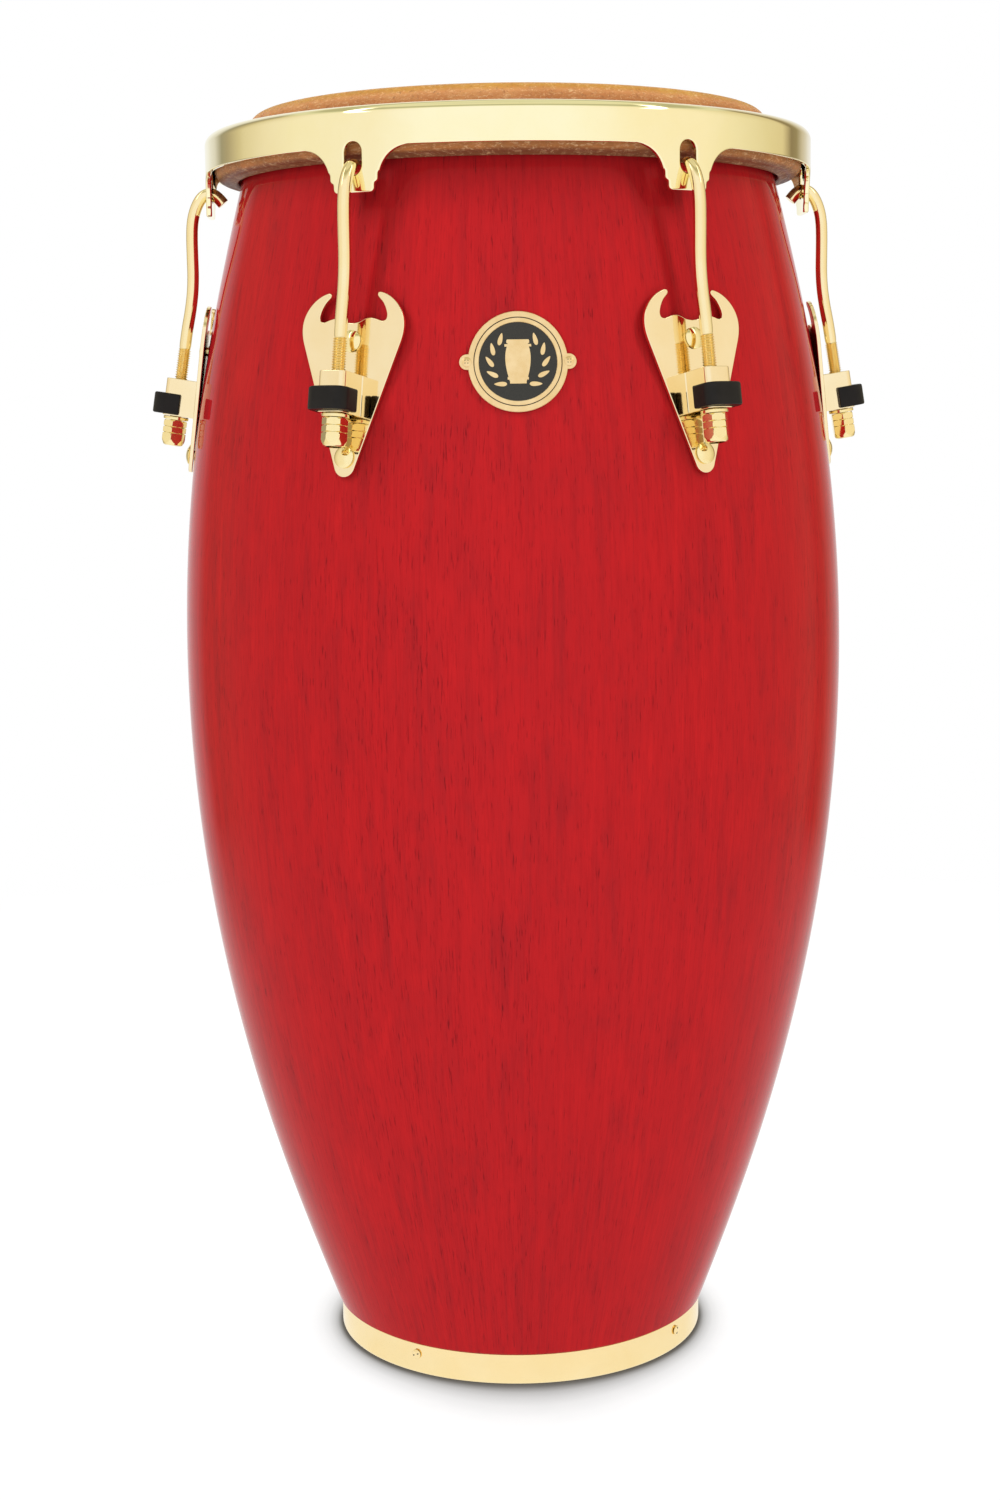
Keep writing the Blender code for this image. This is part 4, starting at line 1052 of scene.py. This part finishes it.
def nut_normal(turn, drop):
    """Outward direction of the nut's side, from small differences of its radius."""
    swing_step, drop_step = 0.003, 0.00004
    swing = nut_reach(turn + swing_step, drop) - nut_reach(turn - swing_step, drop)
    fall = nut_reach(turn, min(drop + drop_step, NUT_LENGTH)) - nut_reach(turn, max(drop - drop_step, 0.0))
    out = Vector((math.cos(turn), math.sin(turn), 0.0))
    across = Vector((-math.sin(turn), math.cos(turn), 0.0))
    lean = swing / (2.0 * swing_step) / nut_reach(turn, drop)
    return out - across * lean + Vector((0, 0, 1)) * (fall / (2.0 * drop_step))


def build_nuts():
    """Long hexagon nut, two turned grooves, chamfered ends, plain bore."""
    form = Form()
    drops = [0.0, 0.0003, 0.0006, 0.0009]
    for groove in NUT_GROOVES:
        drops += [groove + d for d in (-0.00036, -0.00024, -0.00012, 0.00012, 0.00024, 0.00036)]
    taper = (0.0036, 0.0030, 0.0024, 0.0019, 0.0015, 0.0011, 0.0007, 0.0004, 0.0002, 0.0)
    drops += [NUT_LENGTH - d for d in taper]
    columns = (-30.0, -29.2, -28.3, -26.0, -22.0, -18.0, -13.0, -8.0, -3.0)
    columns += tuple(-a for a in reversed(columns[1:]))
    turns = [math.radians(60.0 * side + a) for side in range(6) for a in columns]

    bore = [NUT_BORE] * len(turns)

    def ring(radii, drop, normal):
        return [form.add((r * math.cos(t), r * math.sin(t), -drop), normal(t)) for r, t in zip(radii, turns)]

    def side(drop):
        return [nut_reach(t, drop) for t in turns]

    form.skin([ring(side(drop), drop, lambda t: nut_normal(t, drop)) for drop in drops])
    for drop, up in ((0.0, 1.0), (NUT_LENGTH, -1.0)):
        form.strip(ring(side(drop), drop, lambda t: (0, 0, up)), ring(bore, drop, lambda t: (0, 0, up)))
    form.skin([ring(bore, drop, lambda t: (-math.cos(t), -math.sin(t), 0.0)) for drop in (0.0, NUT_LENGTH)])
    place = Matrix.Translation((0.0, -HOOK_OFFSET, BRACKET_BOTTOM - WASHER_THICKNESS - 2.0 * GAP))
    mesh = form.mesh("lug_nut_fine", ["nut_gold"])
    for index, turn in enumerate(NUT_TURNS):
        spin = Matrix.Rotation(math.radians(turn), 4, "Z")
        set_on_lug(index, "lug_nut", mesh, place @ spin, "nut_")


def hook_centreline():
    """Middle of the unthreaded rod as (distance out, height), from the neck round to the cut end."""
    bends = [(HOOK_OFFSET, 0.0260), (HOOK_OFFSET, 0.0300), (0.0117, 0.0360), (0.0113, 0.0460),
             (0.0114, 0.0560), (0.0123, 0.0660), (0.0142, 0.0780), (0.0158, 0.0880), (0.0167, 0.0960),
             (0.0167, 0.1020), (0.0157, 0.1080), (0.0139, 0.1128), (0.0117, 0.1156), (0.0091, 0.1169),
             (0.0062, 0.1168), (0.0032, 0.1152), (-0.0001, 0.1125)]
    return flowing(bends, 4)


def build_hooks():
    form = Form()
    path = [(HOOK_OFFSET, THREAD_TOP_Z - 0.0012), (HOOK_OFFSET, THREAD_TOP_Z + 0.0004)] + hook_centreline()
    radii = [0.0031, 0.0035] + [HOOK_RADIUS] * (len(path) - 2)
    side = Vector((1.0, 0.0, 0.0))
    rows = []
    for i, ((out, up), radius) in enumerate(zip(path, radii)):
        before, after = path[max(i - 1, 0)], path[min(i + 1, len(path) - 1)]
        along = Vector((0.0, -(after[0] - before[0]), after[1] - before[1])).normalized()
        lift = along.cross(side).normalized()
        row = []
        for t in full_turn(32):
            across = side * math.cos(t) + lift * math.sin(t)
            row.append(form.add(Vector((0.0, -(out - HOOK_OFFSET), up)) + across * radius, across))
        rows.append(row)
    form.skin(rows)
    cut_end(form, rows[-1], path)
    threads(form)
    # The threads take the darker gold: painted shade of their grooves.
    mesh = form.mesh("tuning_hook_fine", ["hook_gold", "thread_shaded_gold"])
    set_on_lugs("tuning_hook", mesh, ON_HOOK, body="hook_")


def cut_end(form, ring, path):
    """Flat end of the rod with a narrow rounded rim."""
    (y0, z0), (y1, z1) = path[-2:]
    along = Vector((0.0, -(y1 - y0), z1 - z0)).normalized()
    centre = Vector((0.0, -(y1 - HOOK_OFFSET), z1))
    edge = 0.0004
    rows = [ring]
    for turn in (math.radians(angle) for angle in (22.5, 45.0, 67.5, 90.0)):
        row = []
        for number in ring:
            across = form.normals[number]
            reach = HOOK_RADIUS - edge + edge * math.cos(turn)
            row.append(form.add(centre + across * reach + along * edge * math.sin(turn),
                                across * math.cos(turn) + along * math.sin(turn)))
        rows.append(row)
    form.skin(rows)
    form.cap(rows[-1], centre + along * edge, along)


def threads(form):
    """Right-hand thread from the rod's end to its neck."""
    around, per_pitch = 24, 10
    depth = 0.00085
    crest, flank = 0.14, 0.72
    length = THREAD_TOP_Z - HOOK_END_Z
    rows = []
    for height in spread(HOOK_END_Z, THREAD_TOP_Z, int(length / THREAD_PITCH * per_pitch)):
        fade = min((height - HOOK_END_Z) / 0.0012, (THREAD_TOP_Z - height) / 0.0016, 1.0)
        row = []
        for t in full_turn(around):
            phase = (height / THREAD_PITCH - t / (2.0 * math.pi)) % 1.0
            fold = abs(2.0 * phase - 1.0)
            wave = min(max((fold - crest) / flank, 0.0), 1.0)
            reach = THREAD_RADIUS - depth + depth * wave * fade
            slope = 0.0
            if crest < fold < crest + flank:
                slope = math.copysign(2.0 * depth * fade / (flank * THREAD_PITCH), phase - 0.5)
            s, c = math.sin(t), math.cos(t)
            row.append(form.add((reach * c, reach * s, height), (c, s, -slope)))
        rows.append(row)
    form.skin(rows, slot=1)
    form.cap(rows[0], (0.0, 0.0, HOOK_END_Z), (0, 0, -1), 1)


def build_bolts():
    """Domed bolt heads outside, shanks through to the backing plates."""
    form = domed_head(radius=0.0060, height=0.0030, rim=0.0010, around=56, steps=10)
    reach, shank, chamfer = 0.0335, 0.0028, 0.0006
    lathe(form, [(shank, -reach + chamfer), (shank, GAP)], 32)
    lathe(form, [(0.0001, -reach), (shank - chamfer, -reach), (shank, -reach + chamfer)], 32)
    mesh = form.mesh("plate_bolt_fine", ["nut_gold"])
    for index in range(LUG_COUNT):
        set_on_lug(index, "plate_bolt_upper", mesh, bolt_axis(UPPER_BOLT_Z))
        set_on_lug(index, "plate_bolt_lower", mesh, bolt_axis(LOWER_BOLT_Z))


# ---------------------------------------------------------------- badge

def corner_angle(first, second, facing):
    """Angle in degrees between two sides of a triangle, from its three lengths."""
    return math.degrees(math.acos((first ** 2 + second ** 2 - facing ** 2) / (2.0 * first * second)))


def badge_outline():
    reach, tab = BADGE_TAB_REACH, 0.0042
    meet = corner_angle(BADGE_RADIUS, reach, tab)
    open_angle = corner_angle(tab, reach, BADGE_RADIUS)
    centre = (0.0, 0.0)
    outline = arc(centre, BADGE_RADIUS, meet, 180.0 - meet, 60)
    outline += arc((-reach, 0.0), tab, open_angle, 360.0 - open_angle, 24)[1:-1]
    outline += arc(centre, BADGE_RADIUS, 180.0 + meet, 360.0 - meet, 60)
    outline += arc((reach, 0.0), tab, open_angle - 180.0, 180.0 - open_angle, 24)[1:-1]
    return outline


def circle(radius, count=96):
    return [(radius * math.cos(turn), radius * math.sin(turn)) for turn in full_turn(count)]


def disc_points(radius, rings):
    return [spot for k in range(1, rings) for spot in circle(radius * k / rings, 6 * k)]


def badge_relief(form, rims, height, lift):
    """Raised gold shapes on the badge's face."""
    edge = min(0.00012, height * 0.5)
    sheet(form, [(rim, True) for rim in rims], height, edge, badge_place(lift + height), rounds=2)


def ring_rims(outer, inner):
    """Rims of a band between two circles, given as shares of the badge's radius."""
    return [circle(BADGE_RADIUS * outer), list(reversed(circle(BADGE_RADIUS * inner)))]


def badge_field(form, rims, inner=()):
    """Thin black enamel, its front only."""
    field = Form()
    sheet(field, [(rim, True) for rim in rims], BADGE_FIELD, BADGE_FIELD * 0.3,
          badge_place(GAP + BADGE_BACK + BADGE_FIELD), inner=inner, rounds=1, both=False)
    form.join(field, 1)


def drum_motif():
    """A small barrel drum's outline for the badge, as one closed line with the metal on its left."""
    half = [(0.0, 0.0118), (0.0058, 0.0118), (0.0062, 0.0112), (0.0062, 0.0100)]
    half += bezier(((0.0054, 0.0094), (0.0078, 0.0040), (0.0070, -0.0030), (0.0044, -0.0108)), 16)
    half += [(0.0044, -0.0118)]
    return list(reversed(mirrored(half)))


def build_badge():
    form = Form()
    base = GAP + BADGE_BACK
    sheet(form, [(badge_outline(), True)], BADGE_BACK, 0.0003, badge_place(base),
          inner=disc_points(BADGE_RADIUS * 0.94, 9))
    badge_relief(form, ring_rims(0.990, 0.885), BADGE_THICKNESS - BADGE_BACK, base)
    badge_relief(form, ring_rims(0.866, 0.785), BADGE_THICKNESS - BADGE_BACK, base)
    badge_field(form, [circle(BADGE_RADIUS * 0.780)], disc_points(BADGE_RADIUS * 0.76, 8))
    badge_field(form, ring_rims(0.883, 0.868))
    badge_art(form, base + BADGE_FIELD)
    set_piece("badge_fine", form.mesh("badge_fine", ["badge_gold", "enamel"]), "badge")


def badge_art(form, lift):
    """Generic raised decoration: a barrel drum between two leaf sprays."""
    height, band, band_height = 0.0003, 0.0007, 0.0002
    badge_relief(form, [drum_motif()], height, lift)
    for z, half in ((0.0086, 0.0072), (-0.0090, 0.0056)):
        hoop = [(-half, z - band), (half, z - band), (half, z + band), (-half, z + band)]
        sheet(form, [(hoop, True)], band_height, 0.0001, badge_place(lift + height + 0.0001), rounds=2)
    for side in (-1.0, 1.0):
        for k in range(5):
            badge_relief(form, [leaf_outline(side, math.radians(-52.0 + 26.0 * k))], height, lift)


def leaf_outline(side, turn):
    """One leaf of a spray, pointed at its outer end, metal on the left."""
    spray, long, wide, point = 0.0152, 0.0034, 0.0012, 0.35
    lean = turn + math.radians(52.0)
    leaf = []
    for t in full_turn(24):
        a = long * math.cos(t)
        b = wide * math.sin(t) * (1.0 - point * math.cos(t))
        x = a * math.cos(lean) - b * math.sin(lean)
        z = a * math.sin(lean) + b * math.cos(lean)
        leaf.append((side * (spray * math.cos(turn) + x), spray * math.sin(turn) + z))
    return leaf if side > 0.0 else list(reversed(leaf))


def build_badge_pins():
    form = domed_head(radius=0.0026, height=0.0011, rim=0.0005)
    dimple_radius, lift = 0.00105, 0.00003
    # Painted shade: each of the four dimples is a tiny black enamel disc on the dome, standing in for the
    # shade inside a dimple.
    for turn in (math.radians(45.0 + 90.0 * k) for k in range(4)):
        dimple_shade = Form()
        lathe(dimple_shade, [(0.0001, 0.00101), (0.00032, 0.00099)], 12, flip=True)
        spot = (dimple_radius * math.cos(turn), dimple_radius * math.sin(turn), lift)
        dimple_shade.moved(Matrix.Translation(spot))
        dimple_shade.normals = [Vector((0, 0, 1))] * len(dimple_shade.points)
        form.join(dimple_shade, 1)
    mesh = form.mesh("badge_pin_fine", ["badge_gold", "enamel"])
    for word, side in (("left", -1.0), ("right", 1.0)):
        origin, right, up, out = on_shell(side * BADGE_TAB_REACH, BADGE_HEIGHT, GAP + BADGE_BACK)
        place = Matrix.Translation(origin) @ Matrix((right, up, out)).transposed().to_4x4()
        set_piece("badge_pin_fine_" + word, mesh, "badge_pin_" + word, matrix=place)


def dress_cad_nodes():
    """The backing plates and the flesh hoop stay as CAD shapes; the plates' edges are softened."""
    for name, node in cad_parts.items():
        if not (name.startswith("backing_plate_") or name == "flesh_hoop"):
            continue
        node.data.materials.clear()
        node.data.materials.append(MATERIALS["zinc"])
        if name.startswith("backing_plate_"):
            soften = node.modifiers.new("Bevel", "BEVEL")
            soften.width = 0.0004
            soften.segments = 2
            soften.limit_method = "ANGLE"
            soften.angle_limit = math.radians(40.0)


# ---------------------------------------------------------------- studio

def build_floor():
    """White paper floor that fades out into the white surroundings. What the camera sees of it has
    a soft shadow at the foot ring, narrow at the sides and wider in front and behind."""
    mesh = bpy.data.meshes.new("floor")
    bm = bmesh.new()
    bmesh.ops.create_grid(bm, x_segments=24, y_segments=24, size=FLOOR_REACH)
    bm.to_mesh(mesh)
    bm.free()
    g = paint("floor_paper")
    where = g.where()
    parts = g.node("ShaderNodeSeparateXYZ")
    g.link(where, parts.inputs["Vector"])
    measure = g.node("ShaderNodeVectorMath", operation="LENGTH")
    g.link(where, measure.inputs[0])
    distance = measure.outputs["Value"]
    sideways = g.math("POWER", g.math("DIVIDE", parts.outputs["X"], distance), 2.0)
    beyond = g.times(g.minus(distance, BASE_RADIUS),
                    g.math("MULTIPLY_ADD", sideways, 2.4, 1.0))
    shadow = [(0.0, 0.03), (0.04, 0.09), (0.08, 0.22), (0.15, 0.44), (0.24, 0.59), (0.39, 0.76),
              (0.59, 0.87), (0.80, 0.93), (1.0, 0.96)]
    shaded = g.ramp(g.span(beyond, 0.0, 0.080),
                    [(at, (level * 0.99, level * 0.995, level)) for at, level in shadow])
    ray = g.node("ShaderNodeLightPath")
    grain = g.noise(where, 40.0, 3.0, 0.5)
    g.set(Base_Color=g.ramp(grain, [(0.3, (0.09, 0.09, 0.09)), (0.7, (0.11, 0.11, 0.11))]), Roughness=0.9)
    seen = g.mix(ray.outputs["Is Camera Ray"], (0.90, 0.90, 0.89), shaded)
    g.set(Emission_Color=seen, Emission_Strength=1.0)
    g.set(Specular_IOR_Level=0.0, Alpha=g.span(distance, FLOOR_REACH * 0.45, FLOOR_REACH * 0.95, 1.0, 0.0))
    mesh.materials.append(g.owner)
    add_object("floor", mesh)


def build_world():
    """A white studio as the metal mirrors it: whitest in front, creamier to the sides, an olive gap
    behind each side of the drum, a cream ceiling and two tall lamps. The camera sees plain white."""
    world = bpy.data.worlds.new("studio")
    bpy.context.scene.world = world
    g = Graph(world, "Background")
    turn, rise = g.turn_and_height(g.where("Generated"))
    turned = g.math("MULTIPLY_ADD", turn, 180.0 / math.pi, CAMERA_TURN)
    height = g.times(g.math("ARCSINE", rise), 180.0 / math.pi)
    walls = [(-180.0, (1.00, 1.00, 1.00)), (-156.0, (0.90, 0.90, 0.90)), (-143.0, (0.72, 0.70, 0.68)),
             (-135.0, (0.36, 0.33, 0.25)), (-129.0, (0.42, 0.36, 0.25)), (-119.0, (0.64, 0.56, 0.38)),
             (-115.0, (0.74, 0.66, 0.48)), (-101.0, (0.87, 0.79, 0.64)), (-84.0, (0.94, 0.88, 0.75)),
             (-50.0, (0.97, 0.91, 0.81)), (-30.0, (1.02, 1.01, 1.00)), (22.0, (1.02, 1.01, 0.98)),
             (50.0, (1.00, 0.92, 0.78)), (77.0, (0.98, 0.89, 0.72)), (93.0, (0.89, 0.81, 0.61)),
             (112.0, (0.78, 0.69, 0.47)), (124.0, (0.73, 0.63, 0.41)), (128.0, (0.52, 0.43, 0.27)),
             (132.0, (0.28, 0.22, 0.13)), (138.0, (0.32, 0.26, 0.15)), (145.0, (0.58, 0.51, 0.40)),
             (158.0, (0.82, 0.79, 0.76)), (180.0, (1.00, 1.00, 1.00))]
    around = g.ramp(g.span(turned, -180.0, 180.0),
                    [((angle + 180.0) / 360.0, colour) for angle, colour in walls])
    ceiling = g.ramp(g.span(height, 40.0, 90.0),
                     [(0.0, (0.76, 0.745, 0.560)), (0.16, (0.76, 0.745, 0.560)), (0.24, (0.50, 0.48, 0.33)),
                      (0.36, (0.50, 0.48, 0.33)), (0.50, (0.82, 0.80, 0.60)), (1.0, (0.72, 0.70, 0.52))])
    around = g.mix(g.span(height, 41.0, 46.0), around, ceiling)
    for place, lean in ((-61.5, -1.0), (59.5, 1.0)):
        middle = g.plus(g.times(g.minus(height, 33.0), lean), place)
        across = g.math("ABSOLUTE", g.minus(turned, middle))
        tall = g.times(g.span(height, 31.0, 34.0), g.span(height, 63.0, 58.0))
        around = g.mix(g.times(g.span(across, 5.6, 4.0), tall), around, (3.2, 3.2, 3.1))
    ray = g.node("ShaderNodeLightPath")
    g.set(Color=g.mix(ray.outputs["Is Camera Ray"], around, (1.0, 1.0, 1.0)),
          Strength=g.span(ray.outputs["Is Diffuse Ray"], 0.0, 1.0, 1.0, 0.84))


def add_light(name, size, power, place, away):
    """A rectangle of light at a place, its back turned away, that the metal doesn't mirror."""
    data = bpy.data.lights.new(name, "AREA")
    data.shape = "RECTANGLE"
    data.size, data.size_y = size
    data.energy = power
    light = add_object(name, data)
    light.location = place
    light.rotation_euler = away.to_track_quat("Z", "Y").to_euler()
    light.visible_glossy = False
    light.visible_camera = False


def build_lights():
    """Two tall soft key lights, left and right in front of the drum, and a weak low one in front."""
    aim, distance, lift = Vector((0.0, 0.0, 0.45)), 2.3, math.radians(40.0)
    for name, azimuth in (("key_left", -60.0), ("key_right", 54.0)):
        turn = math.radians(azimuth)
        away = Vector((math.sin(turn) * math.cos(lift), -math.cos(turn) * math.cos(lift), math.sin(lift)))
        add_light(name, (0.32, 1.6), 20.0, aim + away * distance, away)
    add_light("fill", (1.4, 0.16), 2.2, (0.0, -1.05, 0.10), Vector((0.0, -1.0, -0.06)))


def build_camera():
    """The photograph's view. Its focal length and centre are in the units of a 1000 by 1500 frame."""
    distance, height, pitch, roll = 1.45628, 0.58152, 0.14283, -0.01122
    frame_width, frame_height, film = 1000.0, 1500.0, 36.0
    focal, centre = 2324.88, 514.46
    data = bpy.data.cameras.new("camera")
    data.sensor_width = film
    data.lens = focal / frame_height * film
    data.shift_x = -(centre - frame_width / 2.0) / frame_height
    data.clip_end = 50.0
    camera = add_object("camera", data)
    camera.matrix_world = (radial(-CAMERA_TURN) @ Matrix.Translation((0.0, -distance, height))
                           @ Matrix.Rotation(math.pi / 2.0 - pitch, 4, "X") @ Matrix.Rotation(roll, 4, "Z"))
    bpy.context.scene.camera = camera


# ---------------------------------------------------------------- assembly

build_shell()
build_base_ring()
build_base_screws()
build_head()
build_crown()
build_plates()
build_guards()
build_washers()
build_nuts()
build_hooks()
build_bolts()
build_badge()
build_badge_pins()
dress_cad_nodes()
build_floor()
build_world()
build_lights()
build_camera()
bpy.context.scene.view_settings.view_transform = "Standard"
